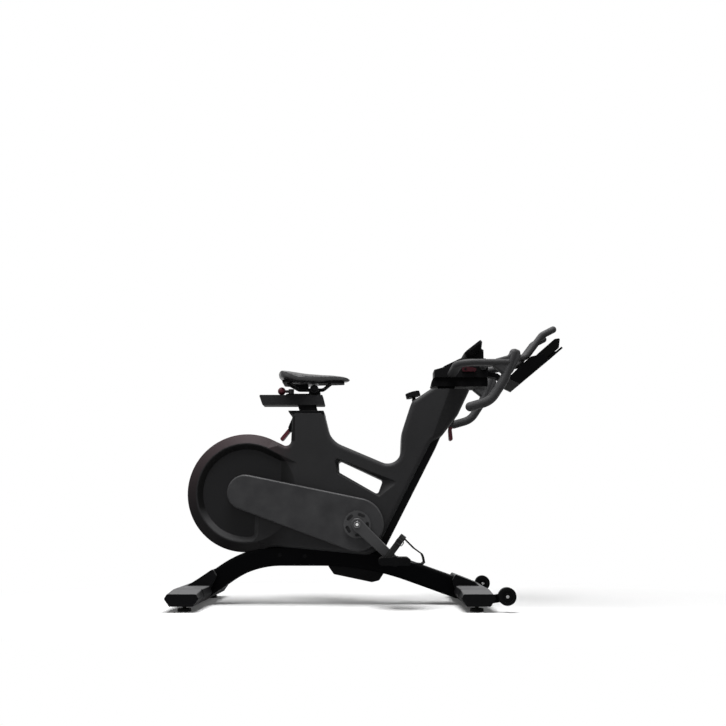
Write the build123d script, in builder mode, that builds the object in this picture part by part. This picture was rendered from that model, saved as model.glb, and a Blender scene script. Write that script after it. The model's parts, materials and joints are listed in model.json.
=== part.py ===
from build123d import *
import os
from math import asin, atan2, cos, degrees, hypot, radians, sin, tan

os.makedirs("parts", exist_ok=True)

# Driving dimensions in millimetres: X forward, Y to the rider's left, Z up
# Clearances shared by the moving joints
RUN_FIT = 0.08
SLIDE_GAP = 0.3
FACE_GAP = 1.0

# Side view axes (X, Z)
WHEEL = (-453, 381)
CRANK = (-69, 272)

# Base arch: centreline heights, bends and box section
ARCH_WIDTH = 84
ARCH_DEPTH = 68
ARCH_WALL = 4
ARCH_EDGE = 12
CROWN_Z = 165
CROWN_REAR_X = -330
CROWN_FRONT_X = -190
REAR_BEND = 330
REAR_SLOPE = 34.5
FRONT_BEND = 900
FRONT_SLOPE = 19.5
ARCH_REAR_X = -645
ARCH_FRONT_X = 338

# Stabilizer bars: hexagonal tubes across the bike under moulded covers
REAR_BAR_X = -615.5
FRONT_BAR_X = 313
BAR_HALF_LENGTH = 238
BAR_CAP = 12
BAR_WALL = 3
BAR_SKIN = 3
BAR_BOTTOM_Z = 19
BAR_WAIST_Z = 43
BAR_TOP_Z = 57
BAR_RIDGE_Z = 66
BAR_EDGE = 5
CAP_SLEEVE = 66
CAP_GAP = 7
BAR_BOTTOM_HALF = 37
BAR_WAIST_HALF = 54
BAR_TOP_HALF = 46
FOOT_INSET = 33
FOOT_R = 22
FOOT_STEM_R = 6

# Transport wheels
CASTER_X = 402
CASTER_Z = 50
CASTER_R = 28.5
CASTER_INSET = 1
CASTER_WIDTH = 18
CASTER_BOLT_R = 5
CASTER_LUG = 6
CASTER_LUG_R = 13

# Body shell: half width, walls, wheel ring and side outline corners with their radii
BODY_HALF = 52
BODY_WALL = 4
BODY_EDGE = 16
RING_R = 204
RING_TANGENT = 25.7
RING_END = 285
COLUMN_TOP_Z = 657
FRONT_TOP_Z = 744
BODY_CORNERS = [
    (-13, 165),
    (188, 556),
    (226, 578),
    (283, 652),
    (340, 770),
    (224.6, 770),
    (122, 700),
    (86, 590),
    (80, 460),
    (-160.5, 562),
    (-195.5, 700),
    (-296, 700),
]
BODY_RADII = [60, 45, 30, 30, 60, 24, 24, 26, 150, 47, 80, 22, 22, 18]
RING_EXIT = 50
RING_ENTRY = 70
RING_BAND = 33
RING_FALL = 16
RING_FADE = 44
WINDOW = [(-136, 497), (20, 424), (2, 375), (-133, 452)]
WINDOW_FACE = [(-150, 504), (72, 417), (6, 366), (-139, 445)]
WINDOW_RADIUS = 9
WINDOW_BEVEL = 20
POCKET_FLOOR_R = 150
POCKET_DEPTH = 18
POCKET_WALL = 2.5
POCKET_DRAFT = 46
POCKET_EDGE = [(-640, 180), (-424, 180), (-424, 300), (-338, 410), (-338, 600), (-640, 600)]
RAMP_FLOOR_X = -338
RAMP_FACE_X = -279
RAMP_BOTTOM_Z = 330
TRIM_DEPTH = 27
TRIM_BEND = (203, 533)
TRIM_TIP = (223, 577)
TRIM_HALF = 36

# Drive: cover, pulleys, belt and crank stack, as distances out from the middle plane
COVER_FACE_Y = 80
COVER_WALL = 3
COVER_REAR_R = 60
COVER_FRONT_R = 90
PULLEY_IN_Y = 59
PULLEY_OUT_Y = 73
CRANK_PULLEY_R = 76
WHEEL_PULLEY_R = 19
BELT_THICK = 3
BELT_WIDTH = 12
SHAFT_R = 10
BEARING_R = 20
BEARING_WIDTH = 12
BB_HALF = 46
BB_R = 27
SPIDER_IN_Y = 84
SPIDER_R = 46
ARM_IN_Y = 88
ARM_OUT_Y = 104
CRANK_LENGTH = 170
CRANK_ANGLE = -43.5
CRANK_HUB_R = 21
CRANK_EYE_R = 15

# Flywheel and magnet brake
FLYWHEEL_R = 186
RIM_INNER_R = 150
RIM_HALF = 12
WEB_HALF = 6
HUB_HALF = 20
PLATE_IN_Y = 22.5
PLATE_OUT_Y = 29
BOSS_OUT_Y = 31
BRAKE_PIVOT = (-262, 470)
BRIDGE_ARC = (30, 50)
CHEEK_ARC = (34, 50)
MAGNET_ARC = (36, 48)
MAGNET_GAP = 1

# Pedals: toe direction in the side view, body and clip sizes
PEDAL_IN_Y = 112
PEDAL_WIDTH = 88
PEDAL_TILT = 0
PEDAL_SPINDLE_R = 6

# Seat post, rail and saddle
SEAT_X = -242
SEAT_Z = 668
SEAT_LEAN = 16.5
SEAT_POST = (62, 40)
SEAT_INSERT = 290
RAIL_HALF = 25
SEAT_RAIL_BOTTOM = 691
SEAT_RAIL_TOP = 727
SLOT_MOUTH_HALF = 9
SLOT_HALF = 18
SLOT_ROOF = 11
SLOT_FLOOR = 7
CARRIAGE_HALF = 14
SADDLE_PIVOT = (-222, 747)
CLAMP_R = 15.5
SADDLE_RAIL_Y = 16
SADDLE_RAIL_R = 3.5
SEAT_LEVER_PIVOT = (-282, 644)

# Handlebar post, rail, carriage and bar
HEAD_X = 244
HEAD_Z = 747
HEAD_LEAN = 27
HEAD_POST = (54, 40)
HEAD_INSERT = 300
BAR_RAIL_BOTTOM = 757
BAR_RAIL_TOP = 788
BAR_Y = 225
BAR_ARM_Z = 799.5
BAR_CROSS_X = 266
BAR_ARM_SECTION = (34, 21)
DROP_R = 15.5
HORN_Y = 70
HORN_R = 12
HEAD_LEVER_PIVOT = (268, 648)
TRAY_HALF = 85
TRAY_TIP_X = 647
LEVER_HALF = 9
LEVER_PIN_R = 4
LEVER_LUG = 5

# Resistance knob
KNOB_SEAT = (134.5, 708)
KNOB_LEAN = 14.6
KNOB_R = 26
KNOB_REST = 10.5
KNOB_PUSH = 4
KNOB_DEPTH = 18
KNOB_STEM_R = 6
KNOB_STEM_TOP = 26
PLUNGER_R = 8.7

# The trim fills the front hollow of the body and runs out at its upper corner
TRIM = [
    BODY_CORNERS[0],
    BODY_CORNERS[1],
    TRIM_TIP,
    TRIM_BEND,
    (BODY_CORNERS[0][0] + TRIM_DEPTH, BODY_CORNERS[0][1]),
]

# The covers, feet and transport wheels keep their distance from the bar ends
CAP_IN_Y = BAR_HALF_LENGTH - CAP_SLEEVE
BOOT_HALF = CAP_IN_Y - CAP_GAP
FOOT_Y = BAR_HALF_LENGTH - FOOT_INSET
CASTER_INNER_Y = BAR_HALF_LENGTH - CASTER_INSET

# Derived frame: the length is centred on the origin
SHIFT_X = -(REAR_BAR_X - BAR_WAIST_HALF + TRAY_TIP_X) / 2
TUBE_WALL = 3
LEVER_LUG_IN = LEVER_HALF + 2 * FACE_GAP
LEVER_LUG_OUT = LEVER_LUG_IN + LEVER_LUG
SEAT_PLANE = Plane(
    origin=(SEAT_X, 0, SEAT_Z),
    x_dir=(cos(radians(SEAT_LEAN)), 0, sin(radians(SEAT_LEAN))),
    z_dir=(-sin(radians(SEAT_LEAN)), 0, cos(radians(SEAT_LEAN))),
)
HEAD_PLANE = Plane(
    origin=(HEAD_X, 0, HEAD_Z),
    x_dir=(cos(radians(HEAD_LEAN)), 0, -sin(radians(HEAD_LEAN))),
    z_dir=(sin(radians(HEAD_LEAN)), 0, cos(radians(HEAD_LEAN))),
)
KNOB_PLANE = Plane(
    origin=(KNOB_SEAT[0], 0, KNOB_SEAT[1]),
    x_dir=(cos(radians(KNOB_LEAN)), 0, sin(radians(KNOB_LEAN))),
    z_dir=(-sin(radians(KNOB_LEAN)), 0, cos(radians(KNOB_LEAN))),
)


def save(piece, node):
    """Move a finished piece into the centred frame and write it."""
    moved = piece.part.moved(Location((SHIFT_X, 0, 0)))
    moved.label = node
    export_step(moved, f"parts/{node}.step")


def rod(axis, radius, y0, y1):
    """Round bar along Y at a side view point, from y0 up to y1."""
    with BuildPart() as bar:
        with BuildSketch(Plane.XZ.offset(-y1)):
            with Locations(axis):
                Circle(radius)
        extrude(amount=y1 - y0)
    return bar.part


def slab(points, y0, y1, radius=0):
    """Side view polygon, corners rounded, from y0 up to y1."""
    with BuildPart() as plate:
        with BuildSketch(Plane.XZ.offset(-y1)):
            with BuildLine():
                if radius:
                    FilletPolyline(*points, radius=radius, close=True)
                else:
                    Polyline(*points, close=True)
            make_face()
        extrude(amount=y1 - y0)
    return plate.part


def loop(rear_radius, front_radius, y0, y1):
    """Loop round the wheel and crank axes with straight outer tangents."""
    run = (CRANK[0] - WHEEL[0], CRANK[1] - WHEEL[1])
    heading = degrees(atan2(run[1], run[0]))
    spread = 90 + degrees(asin((front_radius - rear_radius) / hypot(*run)))
    with BuildPart() as ring:
        with BuildSketch(Plane.XZ.offset(-y1)):
            with BuildLine():
                rear = CenterArc(WHEEL, rear_radius, heading + spread, 360 - 2 * spread)
                front = CenterArc(CRANK, front_radius, heading - spread, 2 * spread)
                Line(rear @ 1, front @ 0)
                Line(front @ 1, rear @ 0)
            make_face()
        extrude(amount=y1 - y0)
    return ring.part


def arch_beam(width, depth, edge):
    """Bent beam along the arch centreline."""
    half_rear = radians(REAR_SLOPE / 2)
    half_front = radians(FRONT_SLOPE / 2)
    rear = radians(REAR_SLOPE)
    front = radians(FRONT_SLOPE)
    rear_x = CROWN_REAR_X - REAR_BEND * sin(rear)
    rear_z = CROWN_Z - REAR_BEND * (1 - cos(rear))
    front_x = CROWN_FRONT_X + FRONT_BEND * sin(front)
    front_z = CROWN_Z - FRONT_BEND * (1 - cos(front))
    end_rear = (ARCH_REAR_X - 40, 0, rear_z - (rear_x - ARCH_REAR_X + 40) * tan(rear))
    end_front = (ARCH_FRONT_X + 30, 0, front_z - (ARCH_FRONT_X + 30 - front_x) * tan(front))
    mid_rear = (
        CROWN_REAR_X - REAR_BEND * sin(half_rear),
        0,
        CROWN_Z - REAR_BEND * (1 - cos(half_rear)),
    )
    mid_front = (
        CROWN_FRONT_X + FRONT_BEND * sin(half_front),
        0,
        CROWN_Z - FRONT_BEND * (1 - cos(half_front)),
    )
    with BuildPart() as beam:
        with BuildLine() as path:
            Line(end_rear, (rear_x, 0, rear_z))
            ThreePointArc((rear_x, 0, rear_z), mid_rear, (CROWN_REAR_X, 0, CROWN_Z))
            Line((CROWN_REAR_X, 0, CROWN_Z), (CROWN_FRONT_X, 0, CROWN_Z))
            ThreePointArc((CROWN_FRONT_X, 0, CROWN_Z), mid_front, (front_x, 0, front_z))
            Line((front_x, 0, front_z), end_front)
        wire = path.wire()
        with BuildSketch(Plane(origin=end_rear, x_dir=(0, 1, 0), z_dir=(cos(rear), 0, sin(rear)))):
            RectangleRounded(width, depth, edge)
        sweep(path=wire)
    return beam.part


def bar_section(centre_x, shrink, top_z=BAR_TOP_Z):
    """Hexagon of a stabilizer bar, drawn in by a wall."""
    return [
        (centre_x - BAR_BOTTOM_HALF + shrink * 0.6, BAR_BOTTOM_Z + shrink),
        (centre_x - BAR_WAIST_HALF + shrink, BAR_WAIST_Z),
        (centre_x - BAR_TOP_HALF + shrink * 0.6, top_z - shrink),
        (centre_x + BAR_TOP_HALF - shrink * 0.6, top_z - shrink),
        (centre_x + BAR_WAIST_HALF - shrink, BAR_WAIST_Z),
        (centre_x + BAR_BOTTOM_HALF - shrink * 0.6, BAR_BOTTOM_Z + shrink),
    ]


def bar_tubes(shrink, half_length):
    """Both bars as solid hexagons, drawn in from the outside of their covers."""
    with BuildPart() as pair:
        add(slab(bar_section(REAR_BAR_X, shrink), -half_length, half_length))
        add(slab(bar_section(FRONT_BAR_X, shrink), -half_length, half_length))
    return pair.part


def caster_lug(side, gap):
    """Flat lug from the front bar to a transport wheel, or with a gap the slot round it."""
    lug_in = CASTER_INNER_Y - FACE_GAP - CASTER_LUG
    near = side * (lug_in - gap)
    far = side * (lug_in + CASTER_LUG + gap)
    root_x = FRONT_BAR_X + BAR_BOTTOM_HALF - CASTER_LUG - gap
    points = [
        (root_x, BAR_BOTTOM_Z + BAR_SKIN + BAR_WALL - gap),
        (root_x, BAR_TOP_Z - BAR_SKIN - BAR_WALL + gap),
        (CASTER_X + CASTER_LUG_R + gap, CASTER_Z + CASTER_LUG_R + gap),
        (CASTER_X + CASTER_LUG_R + gap, CASTER_Z - CASTER_LUG_R - gap),
    ]
    return slab(points, min(near, far), max(near, far), 8)


# Base arch, an open box beam notched over the two bars
with BuildPart() as base_arch:
    add(arch_beam(ARCH_WIDTH, ARCH_DEPTH, ARCH_EDGE))
    add(
        arch_beam(ARCH_WIDTH - 2 * ARCH_WALL, ARCH_DEPTH - 2 * ARCH_WALL, ARCH_EDGE - ARCH_WALL),
        mode=Mode.SUBTRACT,
    )
    with Locations((ARCH_REAR_X - 100, 0, 100)):
        Box(200, 200, 400, mode=Mode.SUBTRACT)
    with Locations((ARCH_FRONT_X + 100, 0, 100)):
        Box(200, 200, 400, mode=Mode.SUBTRACT)
    with Locations((0, 0, BAR_BOTTOM_Z + BAR_SKIN - 100)):
        Box(2000, 200, 200, mode=Mode.SUBTRACT)
    add(bar_tubes(BAR_SKIN, ARCH_WIDTH), mode=Mode.SUBTRACT)
save(base_arch, "base_arch")

# Stabilizer bars, thin hexagonal tubes with a hole over each foot
with BuildPart() as rear_stabilizer:
    add(slab(bar_section(REAR_BAR_X, BAR_SKIN), -BAR_HALF_LENGTH, BAR_HALF_LENGTH))
    add(bar_tubes(BAR_SKIN + BAR_WALL, BAR_HALF_LENGTH), mode=Mode.SUBTRACT)
    with Locations((REAR_BAR_X, FOOT_Y, BAR_BOTTOM_Z), (REAR_BAR_X, -FOOT_Y, BAR_BOTTOM_Z)):
        Cylinder(FOOT_STEM_R + SLIDE_GAP, 20, mode=Mode.SUBTRACT)
save(rear_stabilizer, "rear_stabilizer")

with BuildPart() as front_stabilizer:
    add(slab(bar_section(FRONT_BAR_X, BAR_SKIN), -BAR_HALF_LENGTH, BAR_HALF_LENGTH))
    add(caster_lug(-1, 0))
    add(caster_lug(1, 0))
    add(bar_tubes(BAR_SKIN + BAR_WALL, BAR_HALF_LENGTH), mode=Mode.SUBTRACT)
    add(rod((CASTER_X, CASTER_Z), CASTER_BOLT_R, -300, 300), mode=Mode.SUBTRACT)
    with Locations((FRONT_BAR_X, FOOT_Y, BAR_BOTTOM_Z), (FRONT_BAR_X, -FOOT_Y, BAR_BOTTOM_Z)):
        Cylinder(FOOT_STEM_R + SLIDE_GAP, 20, mode=Mode.SUBTRACT)
save(front_stabilizer, "front_stabilizer")

# End caps, four sleeves whose tops fall away to the bar ends, each with a plug in its tube
with BuildPart() as stabilizer_end_caps:
    for centre_x in (REAR_BAR_X, FRONT_BAR_X):
        for side in (-1, 1):
            with BuildPart() as cap:
                for cap_y, top_z in ((CAP_IN_Y, BAR_RIDGE_Z), (BAR_HALF_LENGTH + BAR_CAP, BAR_TOP_Z)):
                    with BuildSketch(Plane.XZ.offset(-side * cap_y)):
                        with BuildLine():
                            FilletPolyline(*bar_section(centre_x, 0, top_z), radius=BAR_EDGE, close=True)
                        make_face()
                loft(ruled=True)
                add(bar_tubes(BAR_SKIN, BAR_HALF_LENGTH), mode=Mode.SUBTRACT)
                plug_in = side * (BAR_HALF_LENGTH - BAR_CAP)
                plug_out = side * BAR_HALF_LENGTH
                plug = bar_section(centre_x, BAR_SKIN + BAR_WALL + SLIDE_GAP)
                add(slab(plug, min(plug_in, plug_out), max(plug_in, plug_out)))
                with Locations((centre_x, side * FOOT_Y, BAR_BOTTOM_Z)):
                    Cylinder(FOOT_STEM_R + SLIDE_GAP, 20, mode=Mode.SUBTRACT)
                if centre_x == FRONT_BAR_X:
                    add(caster_lug(side, SLIDE_GAP), mode=Mode.SUBTRACT)
            add(cap.part)
save(stabilizer_end_caps, "stabilizer_end_caps")

# Moulded boots over the bars and their joints with the arch
with BuildPart() as arch_boots:
    rear_boot = [(-664, 50), (-648, 64), (-600, 95), (-560, 122), (-546, 98), (-570, 50)]
    front_boot = [(264, 50), (254, 84), (264, 104), (330, 79), (362, 50)]
    add(slab(bar_section(REAR_BAR_X, 0, BAR_RIDGE_Z), -BOOT_HALF, BOOT_HALF, BAR_EDGE))
    add(slab(bar_section(FRONT_BAR_X, 0, BAR_RIDGE_Z), -BOOT_HALF, BOOT_HALF, BAR_EDGE))
    add(slab(rear_boot, -58, 58, 6))
    add(slab(front_boot, -58, 58, 6))
    add(arch_beam(ARCH_WIDTH, ARCH_DEPTH, ARCH_EDGE), mode=Mode.SUBTRACT)
    add(bar_tubes(BAR_SKIN, BAR_HALF_LENGTH), mode=Mode.SUBTRACT)
save(arch_boots, "arch_boots")

# Levelling feet, a rubber pad on a threaded stem
for end, foot_x in (("rear", REAR_BAR_X), ("front", FRONT_BAR_X)):
    for hand, foot_y in (("right", -FOOT_Y), ("left", FOOT_Y)):
        with BuildPart() as levelling_foot:
            with BuildSketch(Plane.XY):
                with Locations((foot_x, foot_y)):
                    Circle(FOOT_R)
            extrude(amount=9, taper=8)
            with BuildSketch(Plane.XY.offset(9)):
                with Locations((foot_x, foot_y)):
                    Circle(FOOT_STEM_R)
            extrude(amount=30)
        save(levelling_foot, f"levelling_foot_{end}_{hand}")

# Transport wheels
for hand, side in (("right", -1), ("left", 1)):
    with BuildPart() as transport_wheel:
        near = side * CASTER_INNER_Y
        far = side * (CASTER_INNER_Y + CASTER_WIDTH)
        add(rod((CASTER_X, CASTER_Z), CASTER_R, min(near, far), max(near, far)))
        fillet(transport_wheel.edges().filter_by(GeomType.CIRCLE), 4)
        dish = side * (CASTER_INNER_Y + CASTER_WIDTH - 3)
        add(rod((CASTER_X, CASTER_Z), 19, min(dish, far), max(dish, far)), mode=Mode.SUBTRACT)
        add(rod((CASTER_X, CASTER_Z), CASTER_BOLT_R + RUN_FIT, -300, 300), mode=Mode.SUBTRACT)
    save(transport_wheel, f"transport_wheel_{hand}")

# Battery box hung under the arch
with BuildPart() as battery_box:
    box = [(-174, 138), (-149, 103), (-19, 76), (6, 82), (26, 112), (-60, 150)]
    add(slab(box, -34, 34, 8))
    add(arch_beam(ARCH_WIDTH, ARCH_DEPTH, ARCH_EDGE), mode=Mode.SUBTRACT)
save(battery_box, "battery_box")


def ring_plane(angle, along):
    """Plane through the wheel axis at an angle, moved along the ring's tangent; x is outward, y is Y."""
    out = (cos(radians(angle)), sin(radians(angle)))
    origin = (WHEEL[0] - along * out[1], 0, WHEEL[1] + along * out[0])
    return Plane(origin=origin, x_dir=(out[0], 0, out[1]), z_dir=(-out[1], 0, out[0]))


def ring_bevel(inset):
    """Wedge that slopes the ring's outer band back to its rim, fading out along both tangents."""
    slope = RING_FALL / RING_BAND
    face = inset - BODY_HALF
    start = RING_R - RING_BAND - inset * (hypot(1, slope) - 1) / slope
    lead = 2
    reach = RING_BAND + BODY_EDGE
    wedge = [(-lead, face - slope * lead), (reach, face + slope * reach), (reach, face - slope * lead)]
    first = 90 - RING_TANGENT
    with BuildPart() as bevel:
        with BuildSketch(ring_plane(first, 0)):
            with BuildLine():
                Polyline(*[(start + r, y) for r, y in wedge], close=True)
            make_face()
        revolve(axis=Axis((WHEEL[0], 0, WHEEL[1]), (0, -1, 0)), revolution_arc=RING_END - first)
        for angle, fade in ((first, -RING_FADE), (RING_END, RING_FADE)):
            for along, shift in ((0, 0), (fade, RING_BAND + lead)):
                with BuildSketch(ring_plane(angle, along)):
                    with BuildLine():
                        Polyline(*[(start + shift + r, y) for r, y in wedge], close=True)
                    make_face()
            loft(ruled=True)
    return bevel.part


def half_body(inset):
    """Right half of the body block, drawn in by a wall, outer edge rounded."""
    with BuildPart() as half:
        with BuildSketch(Plane.XZ):
            with BuildLine():
                ring = CenterArc(WHEEL, RING_R, 90 - RING_TANGENT, RING_END - 90 + RING_TANGENT)
                leaving = ring @ 1 + ring % 1 * RING_EXIT
                joining = ring @ 0 - ring % 0 * RING_ENTRY
                FilletPolyline(ring @ 1, leaving, *BODY_CORNERS, joining, ring @ 0, radius=BODY_RADII)
            make_face()
            if inset:
                offset(amount=-inset)
        extrude(amount=BODY_HALF - inset)
        fillet(half.faces().sort_by(Axis.Y)[0].edges(), BODY_EDGE - inset)
        add(ring_bevel(inset), mode=Mode.SUBTRACT)
    return half.part


def pocket_ramp(grow, depth):
    """Long ramp from the pocket floor up to the right face, under a line tangent to the pocket."""
    slope = POCKET_DEPTH / (RAMP_FACE_X - RAMP_FLOOR_X)
    foot = RAMP_FACE_X - (depth - grow * hypot(1, slope)) / slope
    floor_y = depth - BODY_HALF
    clear_y = -BODY_HALF - 2
    out = (sin(radians(RING_TANGENT)), cos(radians(RING_TANGENT)))
    left = (WHEEL[0] + POCKET_FLOOR_R * out[0], WHEEL[1] + POCKET_FLOOR_R * out[1])
    right = (RAMP_FACE_X, left[1] - (RAMP_FACE_X - left[0]) * out[0] / out[1])
    with BuildPart() as ramp:
        with BuildSketch(Plane.XZ.offset(-floor_y)):
            with BuildLine():
                Polyline(left, right, (right[0], RAMP_BOTTOM_Z), (left[0], RAMP_BOTTOM_Z), close=True)
            make_face()
            if grow:
                offset(amount=grow)
        extrude(amount=depth + 1, taper=-POCKET_DRAFT)
        with BuildSketch(Plane.XY):
            with BuildLine():
                Polyline(
                    (left[0], floor_y),
                    (foot, floor_y),
                    (foot + (floor_y - clear_y) / slope, clear_y),
                    (left[0], clear_y),
                    close=True,
                )
            make_face()
        extrude(amount=COLUMN_TOP_Z, mode=Mode.INTERSECT)
    return ramp.part


def wheel_pocket(grow, depth):
    """Drafted recess in the wheel ring, cut from the right face."""
    with BuildPart() as pocket:
        with BuildSketch(Plane.XZ.offset(BODY_HALF - depth)) as floor:
            with Locations(WHEEL):
                Circle(POCKET_FLOOR_R)
            with BuildLine():
                Polyline(*POCKET_EDGE, close=True)
            make_face(mode=Mode.INTERSECT)
            fillet(floor.vertices(), 12)
            if grow:
                offset(amount=grow)
        extrude(amount=depth + 1, taper=-POCKET_DRAFT)
        add(pocket_ramp(grow, depth))
    return pocket.part


def window(grow):
    """Window through the right half: straight inside, then flaring to a longer outline at the face."""
    flare_y = BODY_HALF - WINDOW_BEVEL - grow
    with BuildPart() as opening:
        for start, outline in ((0, WINDOW), (flare_y, WINDOW), (BODY_HALF, WINDOW_FACE)):
            with BuildSketch(Plane.XZ.offset(start)):
                with BuildLine():
                    FilletPolyline(*outline, radius=WINDOW_RADIUS, close=True)
                make_face()
                if grow:
                    offset(amount=grow)
        loft(ruled=True)
    return opening.part


def post_sleeve(plane, section, grow, start, length):
    """Rounded rectangular bar along a post axis."""
    with BuildPart() as sleeve:
        with BuildSketch(plane.offset(start)):
            RectangleRounded(section[0] + 2 * grow, section[1] + 2 * grow, 12 + grow)
        extrude(amount=length)
    return sleeve.part


# Body shell, two hollow halves that meet on the middle plane
with BuildPart() as body_cavity:
    add(half_body(BODY_WALL))
    with Locations((230, 0, FRONT_TOP_Z - BODY_WALL + 100)):
        Box(400, 300, 200, mode=Mode.SUBTRACT)
    add(wheel_pocket(BODY_WALL, POCKET_DEPTH + POCKET_WALL), mode=Mode.SUBTRACT)
    add(window(BODY_WALL), mode=Mode.SUBTRACT)

body_block = half_body(0)
with BuildPart() as half_shell:
    add(body_block)
    add(wheel_pocket(0, POCKET_DEPTH), mode=Mode.SUBTRACT)
    add(window(0), mode=Mode.SUBTRACT)
    add(body_cavity.part, mode=Mode.SUBTRACT)
    with Locations((230, 0, FRONT_TOP_Z + 100)):
        Box(400, 300, 200, mode=Mode.SUBTRACT)
    with Locations((-250, 0, COLUMN_TOP_Z + 100)):
        Box(300, 300, 200, mode=Mode.SUBTRACT)
    add(arch_beam(ARCH_WIDTH + 1, ARCH_DEPTH + 1, ARCH_EDGE), mode=Mode.SUBTRACT)
    add(rod(CRANK, BB_R - 2, -BODY_HALF - 5, 0), mode=Mode.SUBTRACT)
    add(post_sleeve(HEAD_PLANE, HEAD_POST, FACE_GAP, -60, 120), mode=Mode.SUBTRACT)
    with BuildSketch(KNOB_PLANE.offset(-30)):
        Circle(PLUNGER_R + SLIDE_GAP)
    extrude(amount=60, mode=Mode.SUBTRACT)
    with Locations((SEAT_LEVER_PIVOT[0] - 12, 0, 620)):
        Box(40, 21, 100, mode=Mode.SUBTRACT)
    with Locations((HEAD_LEVER_PIVOT[0] + 10, 0, 626)):
        Box(60, 2 * (LEVER_LUG_OUT + FACE_GAP), 80, mode=Mode.SUBTRACT)

with BuildPart() as body_shell_right:
    add(half_shell.part)
    add(rod(WHEEL, SHAFT_R + 4, -BODY_HALF, 0), mode=Mode.SUBTRACT)
save(body_shell_right, "body_shell_right")

with BuildPart() as body_shell_left:
    mirror(half_shell.part, about=Plane.XZ)
save(body_shell_left, "body_shell_left")

# Black trim down the front of the column
with BuildPart() as front_trim:
    add(slab(TRIM, -TRIM_HALF, TRIM_HALF))
    front_faces = front_trim.faces().filter_by(lambda face: face.normal_at().X > 0.5)
    fillet(front_faces.edges().filter_by(Plane.XZ), 10)
    add(body_block, mode=Mode.SUBTRACT)
    mirror(body_block, about=Plane.XZ, mode=Mode.SUBTRACT)
    add(arch_beam(ARCH_WIDTH + 1, ARCH_DEPTH + 1, ARCH_EDGE), mode=Mode.SUBTRACT)
save(front_trim, "front_trim")

# Drive cover on the right side, its rear wall reaching down into the wheel pocket
with BuildPart() as cover_seat:
    add(body_block)
    add(wheel_pocket(0, POCKET_DEPTH), mode=Mode.SUBTRACT)

with BuildPart() as drive_cover:
    add(loop(COVER_REAR_R, COVER_FRONT_R, -COVER_FACE_Y, POCKET_DEPTH - BODY_HALF))
    chamfer(drive_cover.faces().sort_by(Axis.Y)[0].edges(), 4)
    add(
        loop(COVER_REAR_R - COVER_WALL, COVER_FRONT_R - COVER_WALL, COVER_WALL - COVER_FACE_Y, 0),
        mode=Mode.SUBTRACT,
    )
    add(cover_seat.part, mode=Mode.SUBTRACT)
    add(rod(CRANK, BB_R - 2, -COVER_FACE_Y - 5, 0), mode=Mode.SUBTRACT)
save(drive_cover, "drive_cover")

# Welded main frame inside the shell
with BuildPart() as main_frame:
    add(post_sleeve(SEAT_PLANE, SEAT_POST, TUBE_WALL, -490, 490 - 24))
    add(post_sleeve(HEAD_PLANE, HEAD_POST, TUBE_WALL, -596, 596 - 30))
    add(rod(CRANK, BB_R, -BB_HALF, BB_HALF))
    for side in (-1, 1):
        inner = side * PLATE_IN_Y
        outer = side * PLATE_OUT_Y
        boss = side * BOSS_OUT_Y
        stay = [(-460, 352), (-460, 410), (-330, 400), (-190, 430), (-120, 240), (-170, 222), (-330, 300)]
        add(slab(stay, min(inner, outer), max(inner, outer), 12))
        add(rod(WHEEL, 31, min(inner, boss), max(inner, boss)))
        seat_lug = [(-290, 652), (-290, 636), (-276, 630), (-262, 630), (-262, 650), (-276, 652)]
        head_lug = [(222, 670), (276, 656), (276, 640), (222, 610)]
        brake_lug = [(-272, 478), (-272, 460), (-205, 440), (-205, 500), (-254, 480)]
        lug_in = side * LEVER_LUG_IN
        lug_out = side * LEVER_LUG_OUT
        add(slab(seat_lug, min(lug_in, lug_out), max(lug_in, lug_out), 3))
        add(slab(head_lug, min(lug_in, lug_out), max(lug_in, lug_out), 6))
        add(slab(brake_lug, min(lug_in, lug_out) - side, max(lug_in, lug_out) - side, 5))
    add(post_sleeve(SEAT_PLANE, SEAT_POST, SLIDE_GAP, -340, 400), mode=Mode.SUBTRACT)
    add(post_sleeve(HEAD_PLANE, HEAD_POST, SLIDE_GAP, -360, 400), mode=Mode.SUBTRACT)
    add(rod(CRANK, BEARING_R, -BB_HALF, BEARING_WIDTH - BB_HALF), mode=Mode.SUBTRACT)
    add(rod(CRANK, BEARING_R, BB_HALF - BEARING_WIDTH, BB_HALF), mode=Mode.SUBTRACT)
    add(rod(CRANK, SHAFT_R + 4, -BB_HALF, BB_HALF), mode=Mode.SUBTRACT)
    add(rod(WHEEL, BEARING_R, -60, 60), mode=Mode.SUBTRACT)
    add(rod(SEAT_LEVER_PIVOT, LEVER_PIN_R, -30, 30), mode=Mode.SUBTRACT)
    add(rod(HEAD_LEVER_PIVOT, LEVER_PIN_R, -30, 30), mode=Mode.SUBTRACT)
    add(rod(BRAKE_PIVOT, LEVER_PIN_R, -30, 30), mode=Mode.SUBTRACT)
    add(arch_beam(ARCH_WIDTH, ARCH_DEPTH, ARCH_EDGE), mode=Mode.SUBTRACT)
save(main_frame, "main_frame")

# Flywheel with a heavy rim, lightening holes and a hub on its shaft
with BuildPart() as flywheel:
    add(rod(WHEEL, FLYWHEEL_R, -RIM_HALF, RIM_HALF))
    add(rod(WHEEL, RIM_INNER_R, -RIM_HALF, -WEB_HALF), mode=Mode.SUBTRACT)
    add(rod(WHEEL, RIM_INNER_R, WEB_HALF, RIM_HALF), mode=Mode.SUBTRACT)
    add(rod(WHEEL, 34, -HUB_HALF, HUB_HALF))
    with BuildSketch(Plane.XZ):
        with Locations(WHEEL):
            with PolarLocations(94, 6):
                Circle(26)
    extrude(amount=WEB_HALF + 1, both=True, mode=Mode.SUBTRACT)
    add(rod(WHEEL, SHAFT_R, -HUB_HALF, HUB_HALF), mode=Mode.SUBTRACT)
save(flywheel, "flywheel")

with BuildPart() as flywheel_shaft:
    add(rod(WHEEL, SHAFT_R, -PULLEY_OUT_Y - 2, BOSS_OUT_Y))
save(flywheel_shaft, "flywheel_shaft")

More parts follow.
